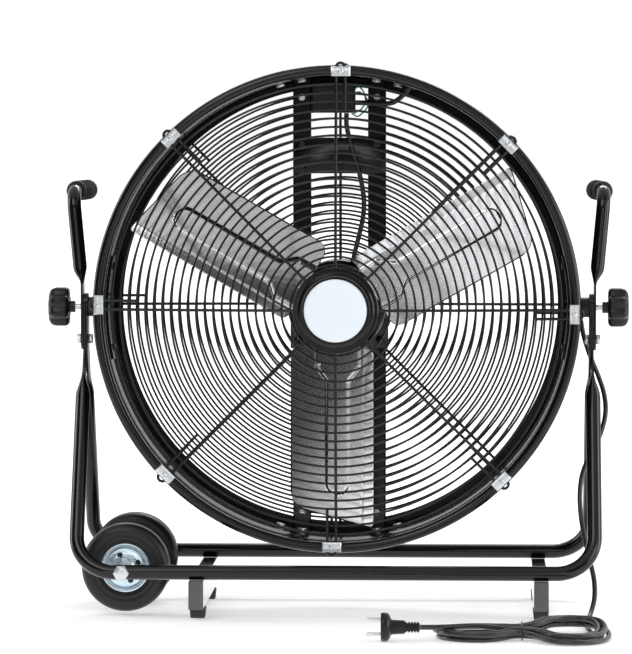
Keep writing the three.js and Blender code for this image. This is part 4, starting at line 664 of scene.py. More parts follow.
for n in range(SPOKES):
    angle = math.tau * n / SPOKES
    clip = folded(13, -90.5, -85.3, 1.4, 1.5, 6.5)
    edges = [e for e in clip.edges if len(e.link_faces) == 2 and e.calc_face_angle() > 0.9]
    soften(clip, edges, 0.35, 2)
    domed_head(clip, (0, -90.4, 0), (0, -1, 0), 3.6, 1.9)
    back = block((-13, 85.3, -6.5), (13, 92.6, 6.5), 1.2, 3)
    for bm, name, material, node in (
        (clip, "Guard clip", zinc_plate, f"guard_clip_{n + 1}"),
        (back, "Rear clip", stove_enamel, "rear_guard"),
    ):
        spot = Vector(polar(CLIP_R, angle, 0, HAIRPIN_GAP / 2))
        shift(bm.verts, Matrix.Rotation(math.pi / 2 - angle, 4, "Y"), spot)
        piece(bm, name, "drum", material, node)
print("clips are on a circle of", 2 * CLIP_R, "mm")

# %% [markdown]
# ## Fan blades
# Three blades are pressed from painted sheet. Each is pitched 31 degrees at its root and 24
# at its tip. A channel is pressed along the middle and flares to a flat land, which is riveted
# to the hub's arm. A crease near the trailing edge turns a narrow flap back. The blade is a
# flat grid whose rows follow the channel, lifted to its depth and then thickened.

# %% Blades
FAN_Y, ROOT_PITCH, TIP_PITCH = -25.0, 31, 24
ROOT_R, LEAD_V, CREASE_V, TRAIL_V = 52.0, -65.5, 36.4, 49.6
TIP_BACK_R, TIP_R, CHANNEL_END_R = 275.0, 302.0, 253
# The radii of the corners, at the leading and at the trailing edge.
TIP_CORNERS, ROOT_CORNERS = (20, 6), (16, 12)
BLADE_SHEET, RIVETS = 1.5, [(78, -27), (78, 27), (60, 0)]
# How many columns of the grid lie between the lines that run along the blade.
ACROSS, BLADE_ROWS = [20, 6, 12, 6, 6, 9], 110


def channel_half(u):
    """Wide at the land, 13 mm along the channel, and round at its outer end."""
    half = 13 + 16 * (1 - ease((u - 78) / 25))
    return max(0.4, half * math.sqrt(max(0.0, 1 - (max(0.0, u - 242) / 13.2) ** 2)))


def blade_depth(u, v, land):
    span = max(0.0, (u - ROOT_R) / (TIP_R - ROOT_R))
    pitch = math.radians(ROOT_PITCH + (TIP_PITCH - ROOT_PITCH) * span)
    flap = 5 * max(0.0, (v - CREASE_V) / (TRAIL_V - CREASE_V))
    return FAN_Y - v * math.tan(pitch) + flap - 4 * (v / LEAD_V) ** 2 - land * 3


def blade_turn(n):
    return Matrix.Rotation(-math.radians(30 + 120 * n), 4, "Y")


def corners_cut(v, radii):
    """How far the two rounded corners of an end set it back, at a place across the blade."""
    cut = 0.0
    for distance, radius in ((v - LEAD_V, radii[0]), (TRAIL_V - v, radii[1])):
        inset = radius - min(radius, max(0.0, distance))
        cut += radius - math.sqrt(radius**2 - inset**2)
    return cut


def across_at(u, j):
    half = channel_half(u)
    marks = [LEAD_V, -half - 4, -half, half, min(half + 4, 36.3), CREASE_V, TRAIL_V]
    for count, low, high in zip(ACROSS, marks, marks[1:]):
        if j <= count:
            return low + (high - low) * j / count
        j -= count
    return TRAIL_V


def blade_mesh(turn_to):
    columns = sum(ACROSS)
    bm = bmesh.new()
    grid = bmesh.ops.create_grid(bm, x_segments=BLADE_ROWS, y_segments=columns, size=0.5)["verts"]
    for vert in grid:
        s = vert.co.x + 0.5
        j = round((vert.co.y + 0.5) * columns)
        v = across_at(ROOT_R + s * (TIP_R - ROOT_R), j)
        reach = TIP_BACK_R + (TIP_R - TIP_BACK_R) * (v - LEAD_V) / (TRAIL_V - LEAD_V)
        root, reach = ROOT_R + corners_cut(v, ROOT_CORNERS), reach - corners_cut(v, TIP_CORNERS)
        u = root + s * (reach - root)
        v = across_at(u, j)
        half = channel_half(u)
        land = (1 - ease((abs(v) - half) / 4)) * (1 - ease((u - CHANNEL_END_R) / 4))
        vert.co = (u, blade_depth(u, v, land), v)
    shift(grid, turn_to, Vector(FAN_CENTRE))
    return bake(bm, "Blade", crease=40)


def thicken(obj, sheet):
    modifier = obj.modifiers.new("sheet", "SOLIDIFY")
    modifier.thickness = sheet * MM
    modifier.offset = 0
    modifier.use_rim = True
    return obj


for n in range(3):
    blade = thicken(blade_mesh(blade_turn(n)), BLADE_SHEET)
    keep(blade, "fan", flake_paint, f"blade_{n + 1}")
    rivets = bmesh.new()
    pitch = math.radians(ROOT_PITCH)
    for u, v in RIVETS:
        foot = Vector((u, blade_depth(u, v, 1) - 0.7, v))
        domed_head(rivets, foot, (0, -math.cos(pitch), -math.sin(pitch)), 4.0, 2.0)
    shift(rivets.verts, blade_turn(n), Vector(FAN_CENTRE))
    piece(rivets, "Rivets", "fan", zinc_plate, f"blade_{n + 1}")
print("blade reaches", TIP_R, "mm, clear of the barrel by", round(BARREL_IN - TIP_R, 1))

# %% [markdown]
# ## Hub, shaft and motor
# The hub is a turned boss on a round plate, and three arms of 3 mm plate are welded to it
# behind the lands. The motor is a fan-cooled can with a bolted end bell, and its shaft is a
# ground bar with a small chamfer. Hub, arms and motor are behind the blades, so they get plain
# enamel; the shaft is ground steel.

# %% Hub and shaft
hub = [(7.4, -41.2), (8.2, -42), (21, -42), (22, -41), (22, -28.2), (22.8, -27), (43.2, -27)]
hub += [(44, -26.2), (44, -23.8), (43.2, -23), (22.8, -23), (22, -22), (22, -9), (21, -8)]
hub += [(8.2, -8), (7.4, -8.8)]
keep(turned("Hub", hub, 72), "fan", stove_enamel, "fan_spider")
ARM_START, ARM_LONG, ARM_BEHIND, ARM_SHEET = 24, 66.5, 3.2, 2.9
for n in range(3):
    bm = bmesh.new()
    grid = bmesh.ops.create_grid(bm, x_segments=24, y_segments=12, size=0.5)["verts"]
    for vert in grid:
        u = ARM_START + (vert.co.x + 0.5) * ARM_LONG
        v = vert.co.y * 2 * (channel_half(u) - 2)
        vert.co = (u, blade_depth(u, v, 1) + ARM_BEHIND, v)
    shift(grid, blade_turn(n), Vector(FAN_CENTRE))
    keep(thicken(bake(bm, "Arm"), ARM_SHEET), "fan", stove_enamel, "fan_spider")
shaft = turned("Shaft", [(0, -50), (6.2, -50), (7, -49.2), (7, 39.7), (0, 39.7)], 48)
keep(shaft, "fan", ground_steel, "motor_shaft")

# %% Motor
MOTOR_R, MOTOR_BACK_Y = 65, 82
can = [(0, 4.2), (17, 4), (18, 5), (19.4, 10), (21, 10.6), (54, 10.6), (58, 11.2), (61, 13)]
can += [(63.4, 16.5), (64.8, 20)]
for k in range(5):
    y = 23 + 5.4 * k
    can += [(MOTOR_R, y), (MOTOR_R, y + 2.6), (64, y + 3.2), (64, y + 4.6)]
can += [(MOTOR_R, 50.4), (64.2, 51.4), (36, 51.4), (36, 77), (35.2, 79.6), (33, 81.4)]
can += [(30, MOTOR_BACK_Y), (0, MOTOR_BACK_Y)]
keep(turned("Motor", can, 96), "drum", stove_enamel, "motor_housing")
print("motor is", 2 * MOTOR_R, "mm across and reaches", MOTOR_BACK_Y, "mm behind the middle")

# %% [markdown]
# ## Rails, plates and switch
# Two folded channels stand behind the motor, from wall to wall of the drum. The motor's bracket
# is bolted to them, a second plate ties them together above it, and the switch box hangs from
# the wall beside the left one.


# %% Rails and plates
RAIL_X, RAIL_FRONT_Y, RAIL_REAR_Y, RAIL_END_R = 52, 55, 75, 317.9
PLATE_FRONT_Y, PLATE_REAR_Y = 51.9, 54.7


def bolts(name, spots, y, material, *nodes, across=10.4, high=3.4):
    """Hexagon heads that stand forward on a plate."""
    bm = bmesh.new()
    for x, z in spots:
        hexagon(bm, (x, y, z), (0, -1, 0), across, high, 0.5)
    piece(bm, name, "drum", material, *nodes)


for hand, side in HANDS:
    bar = folded(12.5, RAIL_FRONT_Y, RAIL_REAR_Y, 1.8, 2.5, 300)
    for v in bar.verts:
        v.co.x += side * RAIL_X
        v.co.z = PIVOT_Z + math.copysign(math.sqrt(RAIL_END_R**2 - v.co.x**2), v.co.z)
    piece(bar, "Rail", "drum", stove_enamel, f"rail_{hand}")
PLATES = (
    ("Bracket", "motor_bracket", 68, PIVOT_Z, 60, 57, 48),
    ("Cross plate", "cross_plate", 64.5, 625, 25, 52, 17),
)
for name, node, half, middle, high, *_ in PLATES:
    low, top = (-half, PLATE_FRONT_Y, middle - high), (half, PLATE_REAR_Y, middle + high)
    piece(block(low, top, 1.2, 2), name, "drum", stove_enamel, node)
for name, node, _, middle, _, bolt_x, bolt_z in PLATES:
    corners = [(x, middle + z) for x in (-bolt_x, bolt_x) for z in (-bolt_z, bolt_z)]
    bolts(name + " bolts", corners, PLATE_FRONT_Y - 0.1, stove_enamel, node)
feet = [(side * RAIL_X, PIVOT_Z + up * 289) for side in (-1, 1) for up in (-1, 1)]
bolts("Rail foot bolts", feet, RAIL_FRONT_Y - 0.1, zinc_plate, across=9.2, high=3.0)
clamps = bmesh.new()
for side in (-1, 1):
    for up in (-1, 1):
        for across in (RAIL_X, 82):
            lean = math.asin(across / BARREL_IN)
            inward = Vector((-side * math.sin(lean), 0, -up * math.cos(lean)))
            spot = Vector((0, 42, PIVOT_Z)) - inward * (BARREL_IN + 0.5)
            hexagon(clamps, spot, inward, 12, 5.5, 0.8)
piece(clamps, "Rail clamp bolts", "drum", zinc_plate)

# %% [markdown]
# The switch box is moulded: a body with 5 mm corners, a lid line and four screws. Its knob is
# on the rear guard's side, where the user stands.

# %% Switch
KNOB_AT = (-28, 0, 702.93)
box = block((-39.2, 40, 684), (22, 78.6, 728), 3.6, 5)
piece(box, "Switch box", "drum", black_abs, "switch_box")
lid = block((-38.4, 77, 684.8), (21.2, 81, 727.2), 2.0, 4)
piece(lid, "Switch box lid", "drum", black_abs, "switch_box")
screws = bmesh.new()
for x in (-33, 16):
    for z in (690, 722):
        domed_head(screws, (x, 80.9, z), (0, 1, 0), 2.4, 1.0, 16)
piece(screws, "Lid screws", "drum", zinc_plate)
dial = [(0, 81.3), (2.5, 81.3), (2.5, 94), (16.4, 94), (17, 94.6), (17, 97.6), (15.4, 99.6)]
dial = turned("Switch dial", dial + [(0, 100)], 48, centre=KNOB_AT)
keep(dial, "switch", black_abs, "switch_knob")
bar = block((-31.5, 99, 687.93), (-24.5, 110, 717.93), 2.2, 4)
piece(bar, "Switch bar", "switch", black_abs, "switch_knob")
mark = block((-28.6, 109.2, 709), (-27.4, 110.0, 716.5), 0.2, 1)
piece(mark, "Switch pointer line", "switch", badge_plate)
print("switch knob turns about", KNOB_AT)

# %% [markdown]
# ## Leads on the drum
# The mains lead leaves the box, passes a rubber grommet in the barrel and lies against the
# outside, down to a tapered strain relief in a saddle. The motor's cable hangs in an easy bow
# beside the right rail. Round flex, so both are tubes along smooth lines.


# %% Leads
def on_barrel(degrees, radius, y=LEAD_Y):
    t = math.radians(degrees)
    return Vector((radius * math.cos(t), y, PIVOT_Z + radius * math.sin(t)))


LYING = BARREL_R + CORD_R + 0.3
lead_points = [(22.3, 46, 698), (30, 46, 698), (52, 43, 697), (74, 36, 698)]
lead_points += [on_barrel(72.9, BARREL_IN - 12, 31), on_barrel(72, BARREL_R)]
lead_points += [on_barrel(69.8, BARREL_R + 8), on_barrel(66, LYING + 4)]
lead_points += [on_barrel(degrees, LYING + 0.6) for degrees in (62, *range(56, 12, -7))]
lead_points.append(on_barrel(8.5, LYING + 0.5))
lead_points += [RELIEF_TOP - slant * 10.8, RELIEF_TOP - slant * 0.3]
lead = tube_mesh("Lead on the drum", smooth_route(lead_points, 5), CORD_R)
keep(lead, "drum", cord_pvc, "drum_lead")
ring = [(4.0, -2.6), (7.2, -2.6), (8.6, -1.8), (8.6, -0.9), (7.8, 0), (8.6, 0.9), (7.2, 2.4)]
grommet = turn(ring + [(4.0, 2.6)], 32, "Z", ORIGIN)
lean = Matrix.Rotation(math.radians(90 - 72), 4, "Y")
shift(grommet.verts, lean, on_barrel(72, BARREL_R - 0.6))
piece(grommet, "Grommet", "drum", grip_rubber)
cable_points = [(20, 34, 479.4), (21, 34, 487.4), (26, 39, 508), (33, 43, 540)]
cable_points += [(34, 45, 565), (28, 45, 600), (16, 46, 640), (10, 46, 668), (10, 46, 683.7)]
cable = tube_mesh("Motor cable", smooth_route(cable_points, 4), 3.4)
keep(cable, "drum", cord_pvc, "motor_cable")
loops = []
for drop, reach in ((0, 0), (7, 3)):
    hoop = [(22.2, 50, 718 - drop), (27, 50, 720 - drop), (34 + reach, 51, 712 - drop)]
    hoop += [(36 + reach, 52, 700 - drop), (31, 53, 690 - drop), (25, 53, 686 - drop)]
    hoop += [(20 - reach, 55, 683.4)]
    loops.append((smooth_route(hoop, 2), False))
keep(wires("Earth wires", loops, 1.1), "drum", earth_pvc)
profile = [(3.7, 0), (6.0, 0), (6.2, 0.8)]
long = (RELIEF_BOTTOM - RELIEF_TOP).length
for k in range(7):
    along = 9 + k * 3.1
    wide = 6.2 - 1.6 * along / long
    profile += [(wide, along), (wide, along + 1.7), (wide - 0.8, along + 2.0)]
    profile += [(wide - 0.8, along + 2.9)]
profile += [(4.6, long - 0.4), (4.3, long), (3.7, long)]
relief = turn(profile, 32, "Z", ORIGIN)
shift(relief.verts, slant.to_track_quat("Z", "X").to_matrix().to_4x4(), RELIEF_TOP)
piece(relief, "Strain relief", "drum", grip_rubber, "strain_relief")
saddle = block((320.3, 18.8, 424), (330.0, 41.2, 434), 1.4, 3)
for y in (21.9, 38.1):
    domed_head(saddle, (329.9, y, 429), (1, 0, 0), 2.6, 0.9, 16)
piece(saddle, "Saddle", "drum", grip_rubber, "strain_relief")

# %% [markdown]
# ## Pivots
# On each side a curved strap inside the barrel spreads the load of the pivot. A spacer carries
# the drum off the stand's plates, and a hand knob with a threaded stud clamps them together.
# The knob's eight lobes are moulded, so its turned form is waved by the angle round its axis.


# %% Pivots and hand knobs
KNOB_END_X = 399


def lobed(bm, centre, depth, lobes, low, high):
    """Draws grooves into a piece turned about X, between two places along X."""
    for v in bm.verts:
        y, z = v.co.y - centre[1], v.co.z - centre[2]
        if not low <= abs(v.co.x) <= high or math.hypot(y, z) < 15:
            continue
        wave = (0.5 - 0.5 * math.cos(lobes * math.atan2(y, z))) ** 0.7
        part = 1 - depth * (1 - wave) * min(1, (math.hypot(y, z) - 15) / 6)
        v.co.y, v.co.z = centre[1] + y * part, centre[2] + z * part
    return bm


def handed(profile, side):
    """A profile drawn for the right side, or its mirror image for the left one."""
    return [(r, side * along) for r, along in profile]


for hand, side in HANDS:
    strap = block((-1.5, -30, -71), (1.5, 30, 71))
    for z in range(-60, 61, 10):
        geom = list(strap.verts) + list(strap.edges) + list(strap.faces)
        bmesh.ops.bisect_plane(strap, geom=geom, plane_co=(0, 0, z), plane_no=(0, 0, 1))
    for v in strap.verts:
        reach = 316.45 + v.co.x * side
        v.co = Vector((side * math.sqrt(reach**2 - v.co.z**2), v.co.y, v.co.z + PIVOT_Z))
    for up in (-56, 56):
        x = math.sqrt(318.1**2 - 56**2) - 3
        hexagon(strap, (side * x, 0, PIVOT_Z + up), (-side, 0, 0), 10.4, 3.2, 0.5)
    piece(strap, "Pivot strap", "drum", stove_enamel, f"pivot_strap_{hand}")
    spacer = [(4.5, 320.3), (13.2, 320.3), (13.8, 320.9), (13.8, 330), (12.8, 330.8)]
    spacer += [(12.8, 334), (13.8, 334.8), (13.8, 343.8), (13.2, 344.4), (4.5, 344.4)]
    spacer = turned("Pivot spacer", handed(spacer, side), 48, "X")
    keep(spacer, "drum", black_abs, f"pivot_spacer_{hand}")
    grip = [(0, 363), (7.4, 363), (8, 363.6), (8, 370.6), (22, 371), (25.4, 371.8)]
    grip += [(27.2, 373.4), (28, 375.6), (28, 388), (27.6, 391), (26.4, 394), (24, 396.6)]
    grip += [(20.4, 398.2), (17.4, 398.9), (13.6, KNOB_END_X), (12.6, 398.4), (0, 398.2)]
    knob = turn(handed(grip, side), 128, "X")
    lobed(knob, FAN_CENTRE, 0.16, 8, 370.8, KNOB_END_X)
    piece(knob, "Hand knob", f"knob_{hand}", black_abs, f"pivot_knob_{hand}", crease=40)
    stud = [(0, 315.2), (3.4, 315.2), (4, 315.9), (4, 363.2), (0, 363.2)]
    stud = turned("Stud", handed(stud, side), 32, "X")
    keep(stud, f"knob_{hand}", zinc_plate, f"pivot_knob_{hand}")
print("over the knobs the fan is", 2 * KNOB_END_X, "mm wide")

# %% [markdown]
# ## Stand
# Two U-shaped tubes of 20 mm make the stand. Each goes down one side, along the floor and up
# the other side, and its upper ends are pressed flat and drilled. The flat ends lie on each
# other, and the legs part below them. A press flattens a tube over about 30 mm.

# %% Base frames
LEG_X, RUN_Y, RUN_Z, BEND_Z, TUBE_R = 350.0, 150.0, 65.2, 356.0, 10.0
SLOPE = RUN_Y / (BEND_Z - RUN_Z)
LEG_BOLT_Z = 373


def frame_route(side, plate_x):
    def leg(hand):
        row = [((hand * plate_x, 0, z), 0) for z in (436, 435.4, 434, 432, 429, 425, 420)]
        row.append(((hand * plate_x, 0, BEND_Z), 30))
        for k in range(7):
            z = 327 - 32 * k / 6
            x = plate_x + (LEG_X - plate_x) * ease(k / 6)
            row.append(((hand * x, side * SLOPE * (BEND_Z - z), z), 0))
        return row

    corner = [((hand * LEG_X, side * RUN_Y, RUN_Z), 52) for hand in (-1, 1)]
    return rounded(leg(-1) + corner + leg(1)[::-1], 5)


def pressed(radius, flat, past_end):
    """What bend_tube needs for a tube whose end is pressed flat and cut to a half circle."""
    taper = math.sqrt(max(0.02, 1 - max(0.0, past_end / 16) ** 2))
    return radius, 14.5 * taper, 1.5, flat


def frame_section(at):
    return pressed(TUBE_R, ease((at.z - 295) / 32), at.z - 420)


for (end, side), plate_x in zip(ENDS, (349.5, 346.2)):
    tube = bend_tube("Base tube", frame_route(side, plate_x), frame_section, 28)
    keep(tube, "base", stove_enamel, f"base_frame_{end}")
for hand, side in HANDS:
    bm = bmesh.new()
    hexagon(bm, (side * 354.6, 0, LEG_BOLT_Z), (side, 0, 0), 13, 5.5, 0.7)
    hexagon(bm, (side * 344.4, 0, LEG_BOLT_Z), (-side, 0, 0), 13, 5.5, 0.7)
    piece(bm, "Leg bolt", "base", zinc_plate, f"leg_bolt_{hand}")
print("the stand's tubes are", 2 * TUBE_R, "mm and", 2 * LEG_X, "mm apart")

# %% [markdown]
# ## Foot bars
# Two rectangular bars cross under the tubes. They are closed by grey moulded caps and stand on
# rubber pads. The bars have the rounded corners of welded box section.

# %% Foot bars, caps and pads
BAR_LOW_Z, BAR_TOP_Z, BAR_END_Y, PAD_Y = 15.7, 54.9, 160, 114
for name, x in (("left", -186.5), ("right", 278.0)):
    low, high = (x - 10, -BAR_END_Y, BAR_LOW_Z), (x + 10, BAR_END_Y, BAR_TOP_Z)
    bar = block(low, high)
    long_edges = [e for e in bar.edges if abs((e.verts[0].co - e.verts[1].co).y) > 100]
    soften(bar, long_edges, 2.0, 4)
    piece(bar, "Foot bar", "base", stove_enamel, f"foot_bar_{name}")
    for end, side in ENDS:
        near, far = sorted((side * 159.8, side * 163.3))
        cap = block((x - 10, near, BAR_LOW_Z), (x + 10, far, BAR_TOP_Z), 1.4, 3)
        piece(cap, "Foot cap", "base", grey_abs, f"foot_cap_{name}_{end}")
        y = side * PAD_Y
        pad = block((x - 11, y - 11, 0), (x + 11, y + 11, 15.4), 2.0, 3)
        for v in pad.verts:
            if v.co.z < 5:
                v.co.x = x + (v.co.x - x) * 0.9
                v.co.y = y + (v.co.y - y) * 0.9
        piece(pad, "Foot pad", "base", grip_rubber, f"foot_pad_{name}_{end}")

# %% [markdown]
# ## Wheels
# Two wheels share one axle bolt across the stand. A tyre is moulded rubber with a fine bead
# line on its wall. The rim is a pressed disc of passivated zinc with a rolled edge, a domed
# web and a hub tube. The web's four holes are painted shade: thin black discs. The bolt has
# a bright hexagon head.


# %% Wheels
WHEEL_Y, WHEEL_R = 80, 60


def wheel_profile(points, side):
    return [(r, side * (WHEEL_Y + y)) for r, y in points]


AXLE = (-287, 0, RUN_Z)
TYRE = [(34.7, 17), (36.4, 19.2), (38, 20), (41, 20), (42, 19.4), (43, 19.4), (44, 20)]
TYRE += [(49.5, 19.6), (53, 18.6), (56, 16.8), (58.2, 14.4), (59.4, 11.6)]
TYRE += [(WHEEL_R, 8), (WHEEL_R, 0)]
TYRE += [(r, -y) for r, y in TYRE[-2::-1]]
RIM = [(6.4, 20), (10.2, 20), (11, 19.2), (11, 13.2), (12.6, 12), (16, 12.3), (21, 12.0)]
RIM += [(24, 10.9), (26, 10.9), (27.6, 12.4), (29, 14), (30.8, 15), (33, 15), (34.4, 13.6)]
RIM += [(34.4, -15), (29.4, -15), (29.4, 8), (25, 8.4), (11, 9.2), (11, -20), (6.4, -20)]
for end, side in ENDS:
    tyre = turned("Tyre", wheel_profile(TYRE, side), 96, "Y", AXLE, 40)
    keep(tyre, f"wheel_{end}", tyre_rubber, f"tyre_{end}")
    rim = turned("Rim", wheel_profile(RIM, side), 96, "Y", AXLE, 35)
    keep(rim, f"wheel_{end}", rim_zinc, f"wheel_rim_{end}")
    # The four holes are not cut. They are painted shade: thin black domes in the black ABS finish
    # lie on the web where the holes would show dark.
    holes = bmesh.new()
    for n in range(4):
        t = math.tau * (n + 0.25) / 4
        x, z = AXLE[0] + 18.3 * math.cos(t), RUN_Z + 18.3 * math.sin(t)
        domed_head(holes, (x, side * 92.1, z), (0, side, 0), 4.0, 0.25, 24)
    piece(holes, "Rim hole shadow", f"wheel_{end}", black_abs)
half_axle = [(6, 160.5), (6, 139.7), (9, 139.7), (9, 100.3), (6, 100.3), (6, 59.7), (9, 59.7)]
axle_line = [(0, -160.5)] + [(r, -y) for r, y in half_axle] + half_axle[::-1] + [(0, 160.5)]
keep(turned("Axle", axle_line, 48, "Y", AXLE), "base", zinc_plate, "axle")
ends = bmesh.new()
for side in (-1, 1):
    hexagon(ends, (AXLE[0], side * 160.3, RUN_Z), (0, side, 0), 19, 7.5, 1.0)
piece(ends, "Axle bolt head and nut", "base", zinc_plate, "axle")
print("wheels of", 2 * WHEEL_R, "mm hang", round(RUN_Z - WHEEL_R, 1), "mm above the floor")

# %% [markdown]
# ## Handles
# A handle is a tube of 19 mm, pressed flat at its foot, which rises beside the drum and bends
# to the rear. Its grip is a ribbed rubber sleeve.


# %% Handles and grips
FOOT_X, GRIP_X, GRIP_Z, HANDLE_END = 352.8, 365.8, 576, (357.8, 135.7)


def handle_section(at):
    return pressed(9.5, 1 - ease((at.z - 446) / 26), 374 - at.z)


for hand, side in HANDS:
    row = [((side * FOOT_X, 0, z), 0) for z in (358, 358.6, 360, 362, 365, 369, 374)]
    row.append(((side * FOOT_X, 0, 446), 60))
    row += [((side * (FOOT_X + 3.5 * ease(k / 5)), 0, 448 + 4.8 * k), 0) for k in range(1, 6)]
    row.append(((side * GRIP_X, 0, GRIP_Z), 27))
    row.append(((side * HANDLE_END[0], HANDLE_END[1], GRIP_Z), 0))
    handle = bend_tube("Handle", rounded(row), handle_section, 28)
    keep(handle, "base", stove_enamel, f"handle_{hand}")
    sleeve = [(9.8, 0), (12.4, 0), (13.6, 0.8), (14, 2.4)]
    for k in range(20):
        y = 5 + 5 * k
        sleeve += [(14, y), (13.9, y + 1.2), (13.2, y + 2), (12.4, y + 2.6), (12.4, y + 3.6)]
        sleeve += [(13.2, y + 4.2)]
    sleeve += [(14, 106), (13.4, 108.6), (11.6, 109.8), (9, 110), (0, 110), (0, 106), (9.8, 106)]
    grip = turn(sleeve, 64, "Y", ORIGIN)
    lean = Matrix.Rotation(side * math.atan2(8, 135.7), 4, "Z")
    shift(grip.verts, lean, Vector((side * (GRIP_X - 8 * 30 / 135.7), 30, GRIP_Z)))
    piece(grip, "Grip", "base", grip_rubber, f"grip_{hand}")

# %% [markdown]
# ## Plug and cord tie
# The plug is a moulded round plug with two pins and a ribbed relief. It lies on its rim. The
# hank is tied by a plastic-covered wire, twisted once on top.

# %% Plug, tie and the cord's transform
plug_line = [(0, 67.2), (17, 67.2), (18.2, 67.8), (18.7, 69), (18.7, 74.6), (17.6, 76.8)]
plug_line += [(14.7, 78.9), (10.6, 80.4), (9.6, 83), (9.2, 90), (8.8, 98.2)]
for k in range(5):
    x = 98.2 + 3.9 * k
    plug_line += [(7, x + 0.3), (7, x + 2.4), (5.3, x + 2.8), (5.3, x + 3.7)]
plug_line += [(6.6, 117.7), (3.7, 117.7), (3.7, 116), (0, 116)]
plug = turned("Plug", plug_line, 64, "X", (0, PLUG_Y, PLUG_Z))
keep(plug, "base", black_abs, "plug")
PIN_OFF = 9.5
pin = [(0, 48.2), (1.6, 48.3), (2.2, 49), (2.4, 50.4), (2.4, 68), (0, 68)]
pins = turn(pin, 32, "X", (0, PLUG_Y, PLUG_Z - PIN_OFF))
both = bmesh.ops.duplicate(pins, geom=pins.verts[:] + pins.edges[:] + pins.faces[:])["geom"]
bmesh.ops.translate(pins, vec=(0, 0, 2 * PIN_OFF), verts=corners_of(both))
pins = piece(pins, "Plug pins", "base", ground_steel, "plug")
TIE_WIRE_R, TIE_LOW_Z = 1.0, 1.1
tie_off = 1.5 + TIE_WIRE_R
half = HANK_WAIST + HANK_PITCH * HANK_REVERSE + CORD_R + tie_off
top = TIE_LIFT + HANK_LAYER + 2 * CORD_R + tie_off


def squared(value):
    return math.copysign(abs(value) ** 0.38, value)


oval = []
for k in range(72):
    t = math.tau * k / 72
    y = HANK_AT.y + half * squared(math.cos(t))
    z = TIE_LOW_Z + (top - TIE_LOW_Z) * (1 + squared(math.sin(t))) / 2
    oval.append(Vector((HANK_AT.x, y, z)))
tie = keep(wires("Cord tie", [(oval, True)], TIE_WIRE_R), "base", cord_pvc, "cord_tie")
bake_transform(cord)

# %% [markdown]
# ## Floor and light
# The photograph is a studio picture on white. The floor is a large pale sheet that the camera
# sees as white away from the fan, and it still takes the fan's shadow. Five soft boxes light the
# fan: one high in front, one at each side, a fill from the right, and a strip behind that draws
# the bright edges of black enamel. What shines also mirrors the studio, so a ring light stands
# behind the camera between dark panels. Only reflections see the ring and the panels.

# %% Floor and backdrop
def ramp(tree, value, start, end, low, high):
    """Turns a value between start and end into one between low and high."""
    inputs = {"Value": value, "From Min": start, "From Max": end, "To Min": low, "To Max": high}
    return add(tree, "ShaderNodeMapRange", inputs).outputs["Result"]


def studio_sheet(bm, name, material, only_reflected=True):
    """A flat sheet of the studio. Only reflections see it, unless told otherwise."""
    sheet = bake(bm, name, flat=True)
    sheet.data.materials.append(material)
    if only_reflected:
        sheet.visible_camera = False
        sheet.visible_diffuse = False
    return sheet


floor_paint = finish("white studio floor", "#f4f4f3", 0.9, Specular_IOR_Level=0.1)
tree = floor_paint.node_tree
paint = tree.nodes["Principled BSDF"]
paint.inputs["Emission Color"].default_value = linear("#ffffff")
place = add(tree, "ShaderNodeTexCoord").outputs["Object"]
away = add(tree, "ShaderNodeVectorMath", {0: place}, operation="LENGTH").outputs["Value"]
# The floor's glow starts at 0.7 m from the fan. Its mirror image goes dark from 1.3 m on.
glow = ramp(tree, away, 0.7, 2.6, 0.42, 1.0)
mirrored = ramp(tree, away, 1.3, 1.9, 1.0, 0.15)
in_mirror = add(tree, "ShaderNodeLightPath").outputs["Is Glossy Ray"]
lit = add(tree, "ShaderNodeMix", {0: in_mirror, 2: glow, 3: mirrored})
tree.links.new(lit.outputs[0], paint.inputs["Emission Strength"])
floor_bm = bmesh.new()
bmesh.ops.create_grid(floor_bm, x_segments=1, y_segments=1, size=30000)
floor = studio_sheet(floor_bm, "Studio floor", floor_paint, only_reflected=False)

# The backdrop is white to the camera and to mirrors, and lights the fan with 0.4 of that.
world = bpy.data.worlds.new("studio")
bpy.context.scene.world = world
world.use_nodes = True
tree = world.node_tree
tree.nodes.clear()
ray = add(tree, "ShaderNodeLightPath").outputs
seen = ray["Is Camera Ray"]
for kind in ("Is Glossy Ray", "Is Transmission Ray"):
    both = {0: seen, 1: ray[kind]}
    seen = add(tree, "ShaderNodeMath", both, operation="ADD", use_clamp=True).outputs[0]
strength = ramp(tree, seen, 0.0, 1.0, 0.4, 1.0)
white = {"Color": linear("#ffffff"), "Strength": strength}
white = add(tree, "ShaderNodeBackground", white).outputs[0]
add(tree, "ShaderNodeOutputWorld", {"Surface": white})

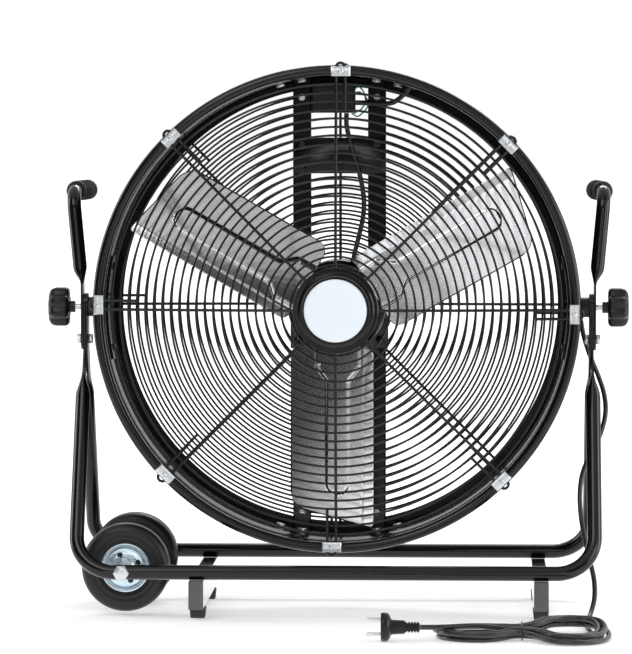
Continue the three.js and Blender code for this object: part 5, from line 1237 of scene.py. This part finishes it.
# %% Ring light and dark panels
# The studio behind the camera is dark, and black enamel that faces it reflects that darkness.
# The ring light shows as a line along pressed edges and round tubes.
RING_LIGHT_R, RING_LIGHT_AT = (1250, 1950), (0, -7400, 500)
ring_bm = bmesh.new()
for radius in RING_LIGHT_R:
    bmesh.ops.create_circle(ring_bm, segments=96, radius=radius)
bmesh.ops.bridge_loops(ring_bm, edges=ring_bm.edges[:])
shift(ring_bm.verts, Matrix.Rotation(math.pi / 2, 4, "X"), Vector(RING_LIGHT_AT))
ring_cloth = finish(
    "lit diffuser cloth", "#ffffff", 0.9, tint=("#f4f4f4", 300),
    Emission_Color=linear("#ffffff"), Emission_Strength=4.0,
)
ring_light = studio_sheet(ring_bm, "Ring light", ring_cloth)
wall_paint = finish("dark studio wall", "#262626", 0.9, tint=("#303030", 900))
for name, at, half_size, axis in (
    ("Dark studio wall", (0, -7500, 0), (11000, 4500, 1), "X"),
    ("Dark panel above", (7500, -7500, 16500), (6000, 6000, 1), "X"),
    ("Dark panel at the left", (-3200, -3300, 1900), (2700, 2700, 1), "Y"),
):
    panel_bm = bmesh.new()
    bmesh.ops.create_grid(panel_bm, x_segments=1, y_segments=1, size=1)
    bmesh.ops.scale(panel_bm, verts=panel_bm.verts, vec=half_size)
    shift(panel_bm.verts, Matrix.Rotation(math.pi / 2, 4, axis), Vector(at))
    panel = studio_sheet(panel_bm, name, wall_paint)
print("the ring light is", 2 * RING_LIGHT_R[1], "mm across")

# %% Lamps
# Each has a name, its place, the height it is aimed at, its width and height, and its watts.
for name, at, aim_z, size, power in (
    ("key soft box", (-1.3, -2.9, 2.9), 0.35, (1.8, 1.8), 36),
    ("fill soft box", (2.6, -1.9, 0.9), 0.4, (1.0, 1.4), 20),
    ("right soft box", (3.1, -0.1, 0.9), 0.4, (1.0, 1.8), 34),
    ("left soft box", (-2.9, 0.5, 0.9), 0.4, (0.8, 1.8), 26),
    ("rim strip", (0.4, 1.8, 2.2), 0.5, (1.8, 0.5), 30),
):
    data = bpy.data.lights.new(name, "AREA")
    data.shape = "RECTANGLE"
    data.size, data.size_y = size
    data.energy = power
    aimed(name, data, at, (0, 0, aim_z))
